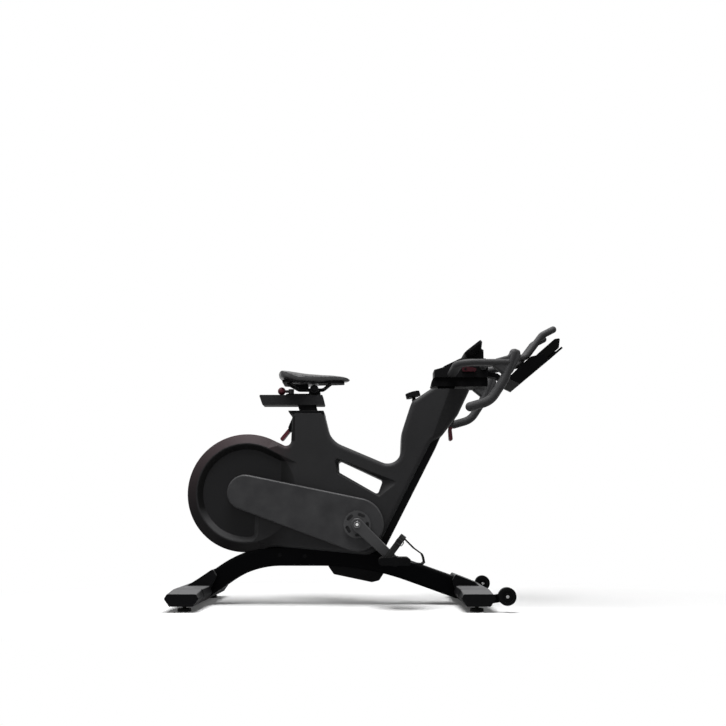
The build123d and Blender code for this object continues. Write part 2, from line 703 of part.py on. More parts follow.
# Bearings, plain rings in the wheel plates and the bottom bracket shell
with BuildPart() as bearings:
    for side in (-1, 1):
        inner = side * PLATE_IN_Y
        outer = side * BOSS_OUT_Y
        add(rod(WHEEL, BEARING_R, min(inner, outer), max(inner, outer)))
    add(rod(CRANK, BEARING_R, -BB_HALF, BEARING_WIDTH - BB_HALF))
    add(rod(CRANK, BEARING_R, BB_HALF - BEARING_WIDTH, BB_HALF))
    add(rod(WHEEL, SHAFT_R + RUN_FIT, -60, 60), mode=Mode.SUBTRACT)
    add(rod(CRANK, SHAFT_R + RUN_FIT, -60, 60), mode=Mode.SUBTRACT)
save(bearings, "bearings")

# Pulleys and belt under the drive cover
with BuildPart() as flywheel_pulley:
    add(rod(WHEEL, WHEEL_PULLEY_R, -PULLEY_OUT_Y, -PULLEY_IN_Y))
    add(rod(WHEEL, SHAFT_R, -100, 0), mode=Mode.SUBTRACT)
save(flywheel_pulley, "flywheel_pulley")

with BuildPart() as drive_pulley:
    add(rod(CRANK, CRANK_PULLEY_R, -PULLEY_OUT_Y, -PULLEY_IN_Y))
    add(rod(CRANK, CRANK_PULLEY_R - 8, -PULLEY_OUT_Y, 5 - PULLEY_OUT_Y), mode=Mode.SUBTRACT)
    add(rod(CRANK, CRANK_PULLEY_R - 8, -PULLEY_IN_Y - 5, -PULLEY_IN_Y), mode=Mode.SUBTRACT)
    add(rod(CRANK, 22, -PULLEY_OUT_Y, -PULLEY_IN_Y))
    with BuildSketch(Plane.XZ.offset(PULLEY_IN_Y)):
        with Locations(CRANK):
            with PolarLocations(45, 6):
                Circle(14)
    extrude(amount=PULLEY_OUT_Y - PULLEY_IN_Y, mode=Mode.SUBTRACT)
    add(rod(CRANK, SHAFT_R, -100, 0), mode=Mode.SUBTRACT)
save(drive_pulley, "drive_pulley")

with BuildPart() as drive_belt:
    belt_in = (PULLEY_OUT_Y + PULLEY_IN_Y - BELT_WIDTH) / 2
    belt_rear = WHEEL_PULLEY_R + SLIDE_GAP
    belt_front = CRANK_PULLEY_R + SLIDE_GAP
    add(loop(belt_rear + BELT_THICK, belt_front + BELT_THICK, -belt_in - BELT_WIDTH, -belt_in))
    add(loop(belt_rear, belt_front, -100, 0), mode=Mode.SUBTRACT)
save(drive_belt, "drive_belt")

# Crank set: spindle, two arms on opposite sides, the right one with a slotted spider
with BuildPart() as crank_spindle:
    add(rod(CRANK, SHAFT_R, -ARM_OUT_Y, ARM_OUT_Y))
save(crank_spindle, "crank_spindle")

ARM_RISE = (cos(radians(CRANK_ANGLE)), sin(radians(CRANK_ANGLE)))
PEDAL_EYE = {
    -1: (CRANK[0] + CRANK_LENGTH * ARM_RISE[0], CRANK[1] + CRANK_LENGTH * ARM_RISE[1]),
    1: (CRANK[0] - CRANK_LENGTH * ARM_RISE[0], CRANK[1] - CRANK_LENGTH * ARM_RISE[1]),
}
for hand, side in (("right", -1), ("left", 1)):
    with BuildPart() as crank_arm:
        inner = side * ARM_IN_Y
        outer = side * ARM_OUT_Y
        y0 = min(inner, outer)
        y1 = max(inner, outer)
        with BuildSketch(Plane.XZ.offset(-y1)) as outline:
            with Locations(CRANK):
                Circle(CRANK_HUB_R)
            with Locations(PEDAL_EYE[side]):
                Circle(CRANK_EYE_R)
            make_hull(outline.edges())
        extrude(amount=ARM_OUT_Y - ARM_IN_Y)
        outer_face = crank_arm.faces().sort_by(Axis.Y)[0 if side < 0 else -1]
        fillet(outer_face.edges(), 4)
        if side < 0:
            add(rod(CRANK, SPIDER_R, -ARM_IN_Y - 2, -SPIDER_IN_Y))
            with BuildSketch(Plane.XZ.offset(SPIDER_IN_Y)):
                with Locations(CRANK):
                    with PolarLocations(34, 5, start_angle=CRANK_ANGLE + 36):
                        SlotOverall(26, 11, rotation=90)
            extrude(amount=ARM_IN_Y + 2 - SPIDER_IN_Y, mode=Mode.SUBTRACT)
        else:
            add(rod(CRANK, CRANK_HUB_R, BODY_HALF + 6, ARM_IN_Y))
        add(rod(CRANK, SHAFT_R, -120, 120), mode=Mode.SUBTRACT)
        add(rod(PEDAL_EYE[side], PEDAL_SPINDLE_R, -120, 120), mode=Mode.SUBTRACT)
    save(crank_arm, f"crank_arm_{hand}")

with BuildPart() as crank_bolts:
    add(rod(CRANK, 9, -ARM_OUT_Y - 4, -ARM_OUT_Y))
    add(rod(CRANK, 9, ARM_OUT_Y, ARM_OUT_Y + 4))
save(crank_bolts, "crank_bolts")

with BuildPart() as pedal_spindles:
    for side in (-1, 1):
        inner = side * ARM_IN_Y
        outer = side * (PEDAL_IN_Y + PEDAL_WIDTH - 8)
        add(rod(PEDAL_EYE[side], PEDAL_SPINDLE_R, min(inner, outer), max(inner, outer)))
        collar = side * ARM_OUT_Y
        stop = side * (PEDAL_IN_Y - FACE_GAP)
        add(rod(PEDAL_EYE[side], 10, min(collar, stop), max(collar, stop)))
save(pedal_spindles, "pedal_spindles")

# Pedals: t runs to the toe, s to the shoe side, both in the side view
TOE = (cos(radians(PEDAL_TILT)), sin(radians(PEDAL_TILT)))
SHOE = (-sin(radians(PEDAL_TILT)), cos(radians(PEDAL_TILT)))


def pedal_points(side, points):
    """Turn toe and shoe distances into side view points at one pedal."""
    eye = PEDAL_EYE[side]
    return [(eye[0] + t * TOE[0] + s * SHOE[0], eye[1] + t * TOE[1] + s * SHOE[1]) for t, s in points]


STRAP_FOOT = (-34, -4)
STRAP_HEAD = (31, 82)
STRAP_WIDTH = 18
STRAP_THICK = 2.5
PEDAL_BODY = [(-52, -8), (-44, -13), (50, -13), (50, 7), (42, 12), (-44, 12), (-52, 6)]
CLIP_OUT = [(50, -9), (90, -12), (98, -4), (94.5, 14), (90, 24), (64, 43), (35, 72), (25, 82)]
CLIP_IN = [(22, 78.5), (32, 68.5), (61, 39.5), (86.5, 21.5), (90.5, 12), (93.5, -3), (87.5, -8), (50, -5)]


def strap_block(side, grow, thick):
    """Box round the strap's path, for the strap itself and its slots."""
    foot = pedal_points(side, [STRAP_FOOT])[0]
    head = pedal_points(side, [STRAP_HEAD])[0]
    mid_y = side * (PEDAL_IN_Y + PEDAL_WIDTH / 2)
    rise = (head[0] - foot[0], head[1] - foot[1])
    length = hypot(*rise)
    up = (rise[0] / length, 0, rise[1] / length)
    centre = ((foot[0] + head[0]) / 2, mid_y, (foot[1] + head[1]) / 2)
    with BuildPart() as block:
        with BuildSketch(Plane(origin=centre, x_dir=(0, 1, 0), z_dir=(up[2], 0, -up[0]))):
            RectangleRounded(PEDAL_WIDTH - 14 + 2 * grow, length + 2 * grow, 16 + grow)
            RectangleRounded(
                PEDAL_WIDTH - 14 - 2 * (thick + grow),
                length - 2 * (thick + grow),
                16 - thick - grow,
                mode=Mode.SUBTRACT,
            )
        extrude(amount=STRAP_WIDTH / 2 + grow, both=True)
    return block.part


for hand, side in (("right", -1), ("left", 1)):
    near = side * PEDAL_IN_Y
    far = side * (PEDAL_IN_Y + PEDAL_WIDTH)
    y0 = min(near, far)
    y1 = max(near, far)
    with BuildPart() as pedal_body:
        add(slab(pedal_points(side, PEDAL_BODY), y0, y1, 5))
        toe_opening = [(18, -40), (42, -40), (42, 40), (18, 40)]
        add(slab(pedal_points(side, toe_opening), y0 + 24, y1 - 24, 4), mode=Mode.SUBTRACT)
        heel_opening = [(-38, -40), (-16, -40), (-16, 40), (-38, 40)]
        add(slab(pedal_points(side, heel_opening), y0 + 16, y1 - 16, 4), mode=Mode.SUBTRACT)
        add(rod(PEDAL_EYE[side], PEDAL_SPINDLE_R + RUN_FIT, y0 - 1, y1 + 1), mode=Mode.SUBTRACT)
        add(strap_block(side, SLIDE_GAP, STRAP_THICK), mode=Mode.SUBTRACT)
        add(rod(PEDAL_EYE[side], 16, y1 - 7 if side > 0 else y0, y1 if side > 0 else y0 + 7))
    save(pedal_body, f"pedal_body_{hand}")

    with BuildPart() as toe_clip:
        add(slab(pedal_points(side, CLIP_OUT + CLIP_IN), y0 + 14, y1 - 14))
        add(strap_block(side, SLIDE_GAP, STRAP_THICK), mode=Mode.SUBTRACT)
        clip_hole = [(66, 30), (84, 18), (98, 34), (78, 52)]
        add(slab(pedal_points(side, clip_hole), y0 + 30, y1 - 30), mode=Mode.SUBTRACT)
    save(toe_clip, f"toe_clip_{hand}")

    with BuildPart() as pedal_strap:
        add(strap_block(side, 0, STRAP_THICK))
    save(pedal_strap, f"pedal_strap_{hand}")


def sector(radii, angles, y0, y1):
    """Ring sector about the wheel axis."""
    with BuildPart() as piece:
        with BuildSketch(Plane.XZ.offset(-y1)):
            with BuildLine():
                outer = CenterArc(WHEEL, radii[1], angles[0], angles[1] - angles[0])
                inner = CenterArc(WHEEL, radii[0], angles[0], angles[1] - angles[0])
                Line(outer @ 0, inner @ 0)
                Line(outer @ 1, inner @ 1)
            make_face()
        extrude(amount=y1 - y0)
    return piece.part


# Magnet brake: a forked arm over the flywheel rim
MAGNET_IN = RIM_HALF + MAGNET_GAP
CHEEK_IN = MAGNET_IN + 2.5
CHEEK_OUT = CHEEK_IN + 4
with BuildPart() as brake_arm:
    add(sector((193, 201), BRIDGE_ARC, -CHEEK_OUT, CHEEK_OUT))
    add(sector((154, 201), CHEEK_ARC, CHEEK_IN, CHEEK_OUT))
    add(sector((154, 201), CHEEK_ARC, -CHEEK_OUT, -CHEEK_IN))
    add(slab([(-258, 480), (-258, 460), (-288, 474), (-290, 492)], -9.7, 9.7))
    add(rod(BRAKE_PIVOT, 10, -9.7, 9.7))
    add(rod(BRAKE_PIVOT, LEVER_PIN_R + RUN_FIT, -30, 30), mode=Mode.SUBTRACT)
save(brake_arm, "brake_arm")

with BuildPart() as brake_magnets:
    add(sector((158, 182), MAGNET_ARC, MAGNET_IN, CHEEK_IN))
    add(sector((158, 182), MAGNET_ARC, -CHEEK_IN, -MAGNET_IN))
save(brake_magnets, "brake_magnets")

# Resistance knob on a plunger that can be pressed to stop the wheel
with BuildPart() as knob_plunger:
    with BuildSketch(KNOB_PLANE.offset(-42)):
        Circle(PLUNGER_R)
    extrude(amount=50)
    with BuildSketch(KNOB_PLANE.offset(8)):
        Circle(KNOB_STEM_R)
    extrude(amount=KNOB_STEM_TOP - 8)
save(knob_plunger, "knob_plunger")

with BuildPart() as resistance_knob:
    with BuildSketch(KNOB_PLANE.offset(KNOB_REST + KNOB_PUSH)):
        Circle(KNOB_R)
        with PolarLocations(KNOB_R + 4, 10):
            Circle(6, mode=Mode.SUBTRACT)
    extrude(amount=KNOB_DEPTH)
    fillet(resistance_knob.faces().sort_by(Axis.Z)[-1].edges(), 2)
    with BuildSketch(KNOB_PLANE.offset(KNOB_REST)):
        Circle(KNOB_STEM_R + RUN_FIT)
    extrude(amount=KNOB_STEM_TOP + SLIDE_GAP - KNOB_REST, mode=Mode.SUBTRACT)
save(resistance_knob, "resistance_knob")

# Seat collar, a lipped guide on top of the column
with BuildPart() as seat_collar:
    collar = [
        (-306, COLUMN_TOP_Z),
        (-312, COLUMN_TOP_Z + 10),
        (-187, COLUMN_TOP_Z + 10),
        (-184, COLUMN_TOP_Z),
    ]
    add(slab(collar, -BODY_HALF + 1, BODY_HALF - 1))
    fillet(seat_collar.faces().sort_by(Axis.Z)[-1].edges(), 2)
    add(post_sleeve(SEAT_PLANE, SEAT_POST, SLIDE_GAP, -60, 120), mode=Mode.SUBTRACT)
save(seat_collar, "seat_collar")


def rail_slot(x0, x1, bottom, top, gap, mouth_top):
    """T shaped bar along X: the slot of a rail, or with a gap the slider in it."""
    with BuildPart() as tee:
        floor_z = bottom + SLOT_FLOOR + gap
        roof_z = top - SLOT_ROOF - gap
        with Locations(((x0 + x1) / 2, 0, (floor_z + roof_z) / 2)):
            Box(x1 - x0, 2 * (SLOT_HALF - gap), roof_z - floor_z)
        with Locations(((x0 + x1) / 2, 0, (roof_z + mouth_top) / 2)):
            Box(x1 - x0, 2 * (SLOT_MOUTH_HALF - gap), mouth_top - roof_z)
    return tee.part


# Seat post welded to its slotted rail
with BuildPart() as seat_post:
    add(post_sleeve(SEAT_PLANE, SEAT_POST, 0, -SEAT_INSERT, SEAT_INSERT + 60))
    add(post_sleeve(SEAT_PLANE, SEAT_POST, -TUBE_WALL, -SEAT_INSERT, SEAT_INSERT + 10), mode=Mode.SUBTRACT)
    with Locations((SEAT_X, 0, SEAT_RAIL_BOTTOM + 3 + 100)):
        Box(200, 200, 200, mode=Mode.SUBTRACT)
    seat_rail = [
        (-418, SEAT_RAIL_TOP),
        (-193, SEAT_RAIL_TOP),
        (-184, SEAT_RAIL_BOTTOM),
        (-405, SEAT_RAIL_BOTTOM),
    ]
    add(slab(seat_rail, -RAIL_HALF, RAIL_HALF, 4))
    add(
        rail_slot(-500, -100, SEAT_RAIL_BOTTOM, SEAT_RAIL_TOP, 0, SEAT_RAIL_TOP + 5),
        mode=Mode.SUBTRACT,
    )
save(seat_post, "seat_post")


def side_lever(pivot, end, grip, hub, width):
    """Lever in the side view: round hub, tapered arm and a straight grip."""
    with BuildPart() as lever:
        with BuildSketch(Plane.XZ.offset(-width)):
            with Locations(pivot):
                Circle(hub)
            with Locations(end):
                Circle(grip)
            make_hull()
        extrude(amount=2 * width)
    return lever.part


with BuildPart() as seat_height_lever:
    add(side_lever(SEAT_LEVER_PIVOT, (-309, 604), 6, 9, LEVER_HALF))
    add(side_lever((-311, 602), (-335, 572), 6.5, 6, LEVER_HALF + 3))
    add(rod(SEAT_LEVER_PIVOT, LEVER_PIN_R + RUN_FIT, -30, 30), mode=Mode.SUBTRACT)
save(seat_height_lever, "seat_height_lever")

# Seat carriage: slider in the rail, pillar with a round cradle, post for the clamp lever
SEAT_LEVER_X = -306
with BuildPart() as seat_carriage:
    add(rail_slot(-330, -204, SEAT_RAIL_BOTTOM, SEAT_RAIL_TOP, SLIDE_GAP, SEAT_RAIL_TOP + 2))
    flange = [
        (SEAT_LEVER_X - 19, SEAT_RAIL_TOP + SLIDE_GAP),
        (SEAT_LEVER_X - 15, SEAT_RAIL_TOP + 6),
        (-204, SEAT_RAIL_TOP + 6),
        (-200, SEAT_RAIL_TOP + SLIDE_GAP),
    ]
    add(slab(flange, -CARRIAGE_HALF, CARRIAGE_HALF))
    pillar = [
        (-243, SEAT_RAIL_TOP + 3),
        (-241, SADDLE_PIVOT[1]),
        (-203, SADDLE_PIVOT[1]),
        (-201, SEAT_RAIL_TOP + 3),
    ]
    add(slab(pillar, -11.5, 11.5))
    with Locations((SEAT_LEVER_X, 0, SEAT_RAIL_TOP + 14)):
        Cylinder(6, 20)
    add(rod(SADDLE_PIVOT, CLAMP_R + SLIDE_GAP, -40, 40), mode=Mode.SUBTRACT)
save(seat_carriage, "seat_carriage")

with BuildPart() as seat_lever:
    with Locations((SEAT_LEVER_X, 0, SEAT_RAIL_TOP + 15)):
        Cylinder(10, 17)
    with Locations((SEAT_LEVER_X - 19, 0, SEAT_RAIL_TOP + 16)):
        Cylinder(5, 26, rotation=(0, 90, 0))
    with Locations((SEAT_LEVER_X - 34, 0, SEAT_RAIL_TOP + 17)):
        Sphere(14)
    with Locations((SEAT_LEVER_X, 0, SEAT_RAIL_TOP + 14)):
        Cylinder(6 + RUN_FIT, 40, mode=Mode.SUBTRACT)
save(seat_lever, "seat_lever")

# Saddle: bent wire rails through a clamp drum, a moulded shell and the pad
RAIL_LEVEL = SADDLE_PIVOT[1] + 1
with BuildPart() as saddle_rails:
    for side in (-1, 1):
        rail_y = side * SADDLE_RAIL_Y
        with BuildLine() as rail_path:
            FilletPolyline(
                (-324, rail_y, 773),
                (-280, rail_y, RAIL_LEVEL),
                (-192, rail_y, RAIL_LEVEL),
                (-162, rail_y, 773),
                radius=20,
            )
        wire = rail_path.wire()
        with BuildSketch(Plane(origin=wire @ 0, z_dir=wire % 0)):
            Circle(SADDLE_RAIL_R)
        sweep(path=wire)
save(saddle_rails, "saddle_rails")

with BuildPart() as saddle_clamp:
    add(rod(SADDLE_PIVOT, CLAMP_R, -30, 30))
    fillet(saddle_clamp.edges(), 2)
    add(rod(SADDLE_PIVOT, 6, -34, 34))
    add(saddle_rails.part, mode=Mode.SUBTRACT)
save(saddle_clamp, "saddle_clamp")

SHELL_BOTTOM = 769
SHELL_TOP = 777
with BuildPart() as saddle_shell:
    with BuildSketch(Plane.XY.offset(SHELL_BOTTOM)):
        with BuildLine():
            half = [(-334, 46), (-304, 56), (-262, 46), (-205, 26), (-150, 20), (-116, 14)]
            FilletPolyline(*half, *[(x, -y) for x, y in reversed(half)], radius=9, close=True)
        make_face()
    extrude(amount=SHELL_TOP - SHELL_BOTTOM)
save(saddle_shell, "saddle_shell")

# Saddle pad stations: x, half width, crown, widest height, underside
PAD_STATIONS = [
    (-353, 34, 806, 799, 790),
    (-342, 58, 817, 803, 785),
    (-320, 74, 816, 798, 776),
    (-285, 77, 809, 788, 765),
    (-245, 62, 805, 785, 764),
    (-200, 39, 806, 787, 765),
    (-150, 25, 805, 789, 769),
    (-110, 21, 797, 785, 770),
    (-93, 13, 788, 781, 773),
]
with BuildPart() as saddle_pad:
    for x, half_width, crown, widest, under in PAD_STATIONS:
        with BuildSketch(Plane.YZ.offset(x)):
            with BuildLine():
                ThreePointArc((-half_width, widest), (0, crown), (half_width, widest))
                Line((half_width, widest), (half_width * 0.86, under))
                Line((half_width * 0.86, under), (-half_width * 0.86, under))
                Line((-half_width * 0.86, under), (-half_width, widest))
            make_face()
    loft()
    add(saddle_shell.part, mode=Mode.SUBTRACT)
    with Locations((-220, 0, SHELL_BOTTOM - 20)):
        Box(400, 60, 40, mode=Mode.SUBTRACT)
save(saddle_pad, "saddle_pad")

# Handlebar post welded to its slotted rail
with BuildPart() as handlebar_post:
    add(post_sleeve(HEAD_PLANE, HEAD_POST, 0, -HEAD_INSERT, HEAD_INSERT + 60))
    add(post_sleeve(HEAD_PLANE, HEAD_POST, -TUBE_WALL, -HEAD_INSERT, HEAD_INSERT - 4), mode=Mode.SUBTRACT)
    with Locations((HEAD_X, 0, BAR_RAIL_BOTTOM + 3 + 100)):
        Box(300, 200, 200, mode=Mode.SUBTRACT)
    bar_rail = [
        (191, BAR_RAIL_BOTTOM),
        (199, BAR_RAIL_TOP),
        (393, BAR_RAIL_TOP),
        (393, BAR_RAIL_BOTTOM),
    ]
    add(slab(bar_rail, -RAIL_HALF, RAIL_HALF, 4))
    add(
        rail_slot(100, 500, BAR_RAIL_BOTTOM, BAR_RAIL_TOP, 0, BAR_RAIL_TOP + 5),
        mode=Mode.SUBTRACT,
    )
save(handlebar_post, "handlebar_post")

with BuildPart() as bar_height_lever:
    add(side_lever(HEAD_LEVER_PIVOT, (259, 604), 6, 9, LEVER_HALF))
    add(side_lever((259, 600), (261, 572), 6.5, 6, LEVER_HALF + 3))
    add(rod(HEAD_LEVER_PIVOT, LEVER_PIN_R + RUN_FIT, -30, 30), mode=Mode.SUBTRACT)
save(bar_height_lever, "bar_height_lever")

# Handlebar: flattened arms round a rear cross bar, hoods and drops at both ends
DROP_LINE = [(447, 830), (412, 742), (366, 672), (300, 653)]
DROP_BEND = 70
HOOD_TOP = [(372, 790), (384, 811), (424, 822), (447, 846), (466, 838)]
HOOD_UNDER = [(468, 816), (440, 765), (418, 752), (396, 770)]
HOOD_HALF = 13


def bar_arms():
    """Cross bar and both arms, one flattened tube bent twice."""
    with BuildPart() as arms:
        with BuildLine() as path:
            FilletPolyline(
                (428, -BAR_Y, BAR_ARM_Z),
                (BAR_CROSS_X, -BAR_Y, BAR_ARM_Z),
                (BAR_CROSS_X, BAR_Y, BAR_ARM_Z),
                (428, BAR_Y, BAR_ARM_Z),
                radius=48,
            )
        wire = path.wire()
        with BuildSketch(Plane(origin=wire @ 0, x_dir=(0, 1, 0), z_dir=wire % 0)):
            RectangleRounded(*BAR_ARM_SECTION, BAR_ARM_SECTION[1] / 2 - 0.5)
        sweep(path=wire)
    return arms.part


def bar_hood(side):
    """Moulded hood where an arm runs into its drop."""
    with BuildPart() as hood:
        add(slab(HOOD_TOP + HOOD_UNDER, side * BAR_Y - HOOD_HALF, side * BAR_Y + HOOD_HALF, 8))
        fillet(hood.edges().filter_by(Plane.XZ), 7)
    return hood.part


with BuildPart() as handlebar:
    add(bar_arms())
    for side in (-1, 1):
        with BuildLine() as drop_path:
            FilletPolyline(*[(x, side * BAR_Y, z) for x, z in DROP_LINE], radius=DROP_BEND)
        wire = drop_path.wire()
        with BuildSketch(Plane(origin=wire @ 0, z_dir=wire % 0)):
            Circle(DROP_R)
        sweep(path=wire)
        with Locations(wire @ 0, wire @ 1):
            Sphere(DROP_R)
        add(bar_hood(side))
save(handlebar, "handlebar")

# Handlebar carriage: slider in the rail and the block that holds the bar
BAR_LEVER_PIVOT = (312, 816)
CARRIAGE_TOP = 857
HORN_LINE = [(376, 826), (520, 853), (578, 930), (618, 951)]
HORN_BEND = 30
with BuildPart() as bar_carriage:
    block = [
        (203, BAR_RAIL_TOP + SLIDE_GAP),
        (203, 816),
        (232, 824),
        (240, 830),
        (296, CARRIAGE_TOP),
        (388, CARRIAGE_TOP),
        (394, 836),
        (394, BAR_RAIL_TOP + SLIDE_GAP),
    ]
    add(slab(block, -32, 32))
    fillet(bar_carriage.edges().filter_by(Axis.Y).group_by(Axis.Z)[-1], 5)
    add(rail_slot(215, 365, BAR_RAIL_BOTTOM, BAR_RAIL_TOP, SLIDE_GAP, BAR_RAIL_TOP + 2))
    add(bar_arms(), mode=Mode.SUBTRACT)
    add(rod(BAR_LEVER_PIVOT, LEVER_PIN_R, -47, -30))
    add(rod(HORN_LINE[0], HORN_R, -60, 60), mode=Mode.SUBTRACT)
save(bar_carriage, "bar_carriage")

with BuildPart() as bar_lever:
    add(slab([(301, 808), (301, 824), (322, 825), (350, 819), (350, 808), (322, 807)], -45, -33, 4))
    add(rod(BAR_LEVER_PIVOT, LEVER_PIN_R + RUN_FIT, -60, -30), mode=Mode.SUBTRACT)
save(bar_lever, "bar_lever")

with BuildPart() as bar_horns:
    add(rod(HORN_LINE[0], HORN_R, -HORN_Y, HORN_Y))
    for side in (-1, 1):
        with BuildLine() as horn_path:
            FilletPolyline(*[(x, side * HORN_Y, z) for x, z in HORN_LINE], radius=HORN_BEND)
        wire = horn_path.wire()
        with BuildSketch(Plane(origin=wire @ 0, z_dir=wire % 0)):
            Circle(HORN_R)
        sweep(path=wire)
        with Locations(wire @ 0, wire @ 1):
            Sphere(HORN_R)
save(bar_horns, "bar_horns")

# Console on a short stem, screen let into its face, two keys below the screen
CONSOLE_PLANE = Plane(origin=(338, 0, 897), x_dir=(0.785, 0, 0.62), z_dir=(-0.62, 0, 0.785))
CONSOLE_THICK = 26
CONSOLE_SIZE = (76, 124)
CONSOLE_BACK = (44, 90)
CONSOLE_RIM = 9
SCREEN_SIZE = (50, 104)
SCREEN_SHIFT = 9
SCREEN_DEPTH = 2
KEY_X = -27
KEY_Y = 24
KEY_R = 6
with BuildPart() as console_housing:
    add(slab([(322, 857), (322, 866), (366, 900), (381, 890), (381, 857)], -20, 20))
    with BuildSketch(CONSOLE_PLANE.offset(-CONSOLE_THICK)):
        RectangleRounded(CONSOLE_BACK[0], CONSOLE_BACK[1], 12)
    with BuildSketch(CONSOLE_PLANE.offset(-CONSOLE_RIM)):
        RectangleRounded(CONSOLE_SIZE[0], CONSOLE_SIZE[1], 20)
    loft()
    with BuildSketch(CONSOLE_PLANE.offset(-CONSOLE_RIM)):
        RectangleRounded(CONSOLE_SIZE[0], CONSOLE_SIZE[1], 20)
    extrude(amount=CONSOLE_RIM)
    with BuildSketch(CONSOLE_PLANE):
        with Locations((SCREEN_SHIFT, 0)):
            RectangleRounded(SCREEN_SIZE[0], SCREEN_SIZE[1], 4)
    extrude(amount=-SCREEN_DEPTH, mode=Mode.SUBTRACT)
    with BuildSketch(CONSOLE_PLANE):
        with Locations((KEY_X, -KEY_Y), (KEY_X, KEY_Y)):
            Circle(KEY_R + SLIDE_GAP)
    extrude(amount=-8, mode=Mode.SUBTRACT)
    with Locations((340, 0, CARRIAGE_TOP - 50)):
        Box(200, 200, 100, mode=Mode.SUBTRACT)
save(console_housing, "console_housing")

with BuildPart() as console_screen:
    with BuildSketch(CONSOLE_PLANE.offset(-SCREEN_DEPTH)):
        with Locations((SCREEN_SHIFT, 0)):
            RectangleRounded(SCREEN_SIZE[0], SCREEN_SIZE[1], 4)
    extrude(amount=SCREEN_DEPTH - 0.5)
save(console_screen, "console_screen")

for hand, key_y in (("right", -KEY_Y), ("left", KEY_Y)):
    with BuildPart() as console_key:
        with BuildSketch(CONSOLE_PLANE.offset(-5)):
            with Locations((KEY_X, key_y)):
                Circle(KEY_R)
        extrude(amount=7)
    save(console_key, f"console_key_{hand}")

# Device tray: bent sheet with a ledge, side cheeks and a bracket to the carriage
with BuildPart() as device_tray:
    add(slab([(494, 755), (TRAY_TIP_X, 882), (TRAY_TIP_X - 5, 887), (489, 759)], -TRAY_HALF, TRAY_HALF))
    add(slab([(494, 755), (453, 775), (457, 786), (500, 764)], -TRAY_HALF, TRAY_HALF))
    cheek = [(460, 782), (497, 760), (596, 843), (580, 862), (535, 852), (500, 822)]
    for side in (-1, 1):
        cheek_in = side * (TRAY_HALF - 5)
        cheek_out = side * TRAY_HALF
        add(slab(cheek, min(cheek_in, cheek_out), max(cheek_in, cheek_out)))
    add(slab([(394, 796), (394, 812), (430, 806), (460, 784), (480, 764), (452, 772), (424, 790)], -16, 16))
save(device_tray, "device_tray")

with BuildPart() as tray_rest:
    add(slab([(562, 865), (623, 918), (642, 921), (637, 886), (594, 852), (574, 851)], -70, 70, 4))
    for side in (-1, 1):
        foot_in = side * 34
        foot_out = side * 44
        stand = [(604, 862), (624, 878), (632, 880), (636, 874), (602, 846)]
        add(slab(stand, min(foot_in, foot_out), max(foot_in, foot_out)))
    add(device_tray.part, mode=Mode.SUBTRACT)
save(tray_rest, "tray_rest")

# Fasteners on the frame: wheel bolts, lever pins and arch screws
with BuildPart() as frame_fasteners:
    for side in (-1, 1):
        shank_in = side * (CASTER_INNER_Y - CASTER_LUG - 2 * FACE_GAP)
        head_in = side * (CASTER_INNER_Y + CASTER_WIDTH - 2.5)
        head_out = side * (CASTER_INNER_Y + CASTER_WIDTH + 2)
        add(rod((CASTER_X, CASTER_Z), CASTER_BOLT_R, min(shank_in, head_in), max(shank_in, head_in)))
        add(rod((CASTER_X, CASTER_Z), 10, min(head_in, head_out), max(head_in, head_out)))
        screw_in = side * ARCH_WIDTH / 2
        screw_out = side * (ARCH_WIDTH / 2 + 2.5)
        for screw in ((-334, 168), (-248, 165)):
            add(rod(screw, 7, min(screw_in, screw_out), max(screw_in, screw_out)))
    add(rod(SEAT_LEVER_PIVOT, LEVER_PIN_R, -16, 16))
    add(rod(HEAD_LEVER_PIVOT, LEVER_PIN_R, -16, 16))
    add(rod(BRAKE_PIVOT, LEVER_PIN_R, -15, 15))
save(frame_fasteners, "frame_fasteners")
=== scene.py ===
import json
import math

import bpy
import numpy as np
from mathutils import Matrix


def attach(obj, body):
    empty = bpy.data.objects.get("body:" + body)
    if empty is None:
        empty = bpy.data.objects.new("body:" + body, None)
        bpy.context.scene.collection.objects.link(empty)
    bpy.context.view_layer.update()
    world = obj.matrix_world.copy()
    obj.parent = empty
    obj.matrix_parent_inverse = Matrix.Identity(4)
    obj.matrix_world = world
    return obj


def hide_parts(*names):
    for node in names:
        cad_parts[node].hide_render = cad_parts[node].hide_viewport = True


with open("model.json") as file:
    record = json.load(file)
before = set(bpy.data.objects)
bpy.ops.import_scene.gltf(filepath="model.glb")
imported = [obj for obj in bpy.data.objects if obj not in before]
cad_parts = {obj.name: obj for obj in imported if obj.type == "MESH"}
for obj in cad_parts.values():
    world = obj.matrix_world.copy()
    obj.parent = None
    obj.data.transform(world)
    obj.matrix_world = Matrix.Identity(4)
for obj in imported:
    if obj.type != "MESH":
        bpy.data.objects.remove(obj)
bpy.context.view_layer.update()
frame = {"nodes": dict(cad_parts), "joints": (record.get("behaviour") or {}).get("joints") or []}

# Base arch: one box beam of steel plate, bent and welded, that carries the whole machine.
# It is powder coated black like the two bars and the welded frame, with the faint orange peel
# that the baked powder leaves.
ARCH_BLACK = "#020203"
ARCH_EDGE = "#0c0c0d"
DUST_GREY = "#8a8680"
EDGE_STARTS = 0.995
EDGE_FULL = 0.8
DUST_RISE = (0.3, 1.0)
MOTTLE_SHARE = 0.35
EDGE_HIGHLIGHT_SHARE = 0.6
POLISH_SWING = 0.05


def paint(code):
    """Turn a written screen colour into the linear colour that shaders use."""
    levels = [int(code[i : i + 2], 16) / 255 for i in (1, 3, 5)]
    linear = [((v + 0.055) / 1.055) ** 2.4 if v > 0.04045 else v / 12.92 for v in levels]
    return (*linear, 1.0)


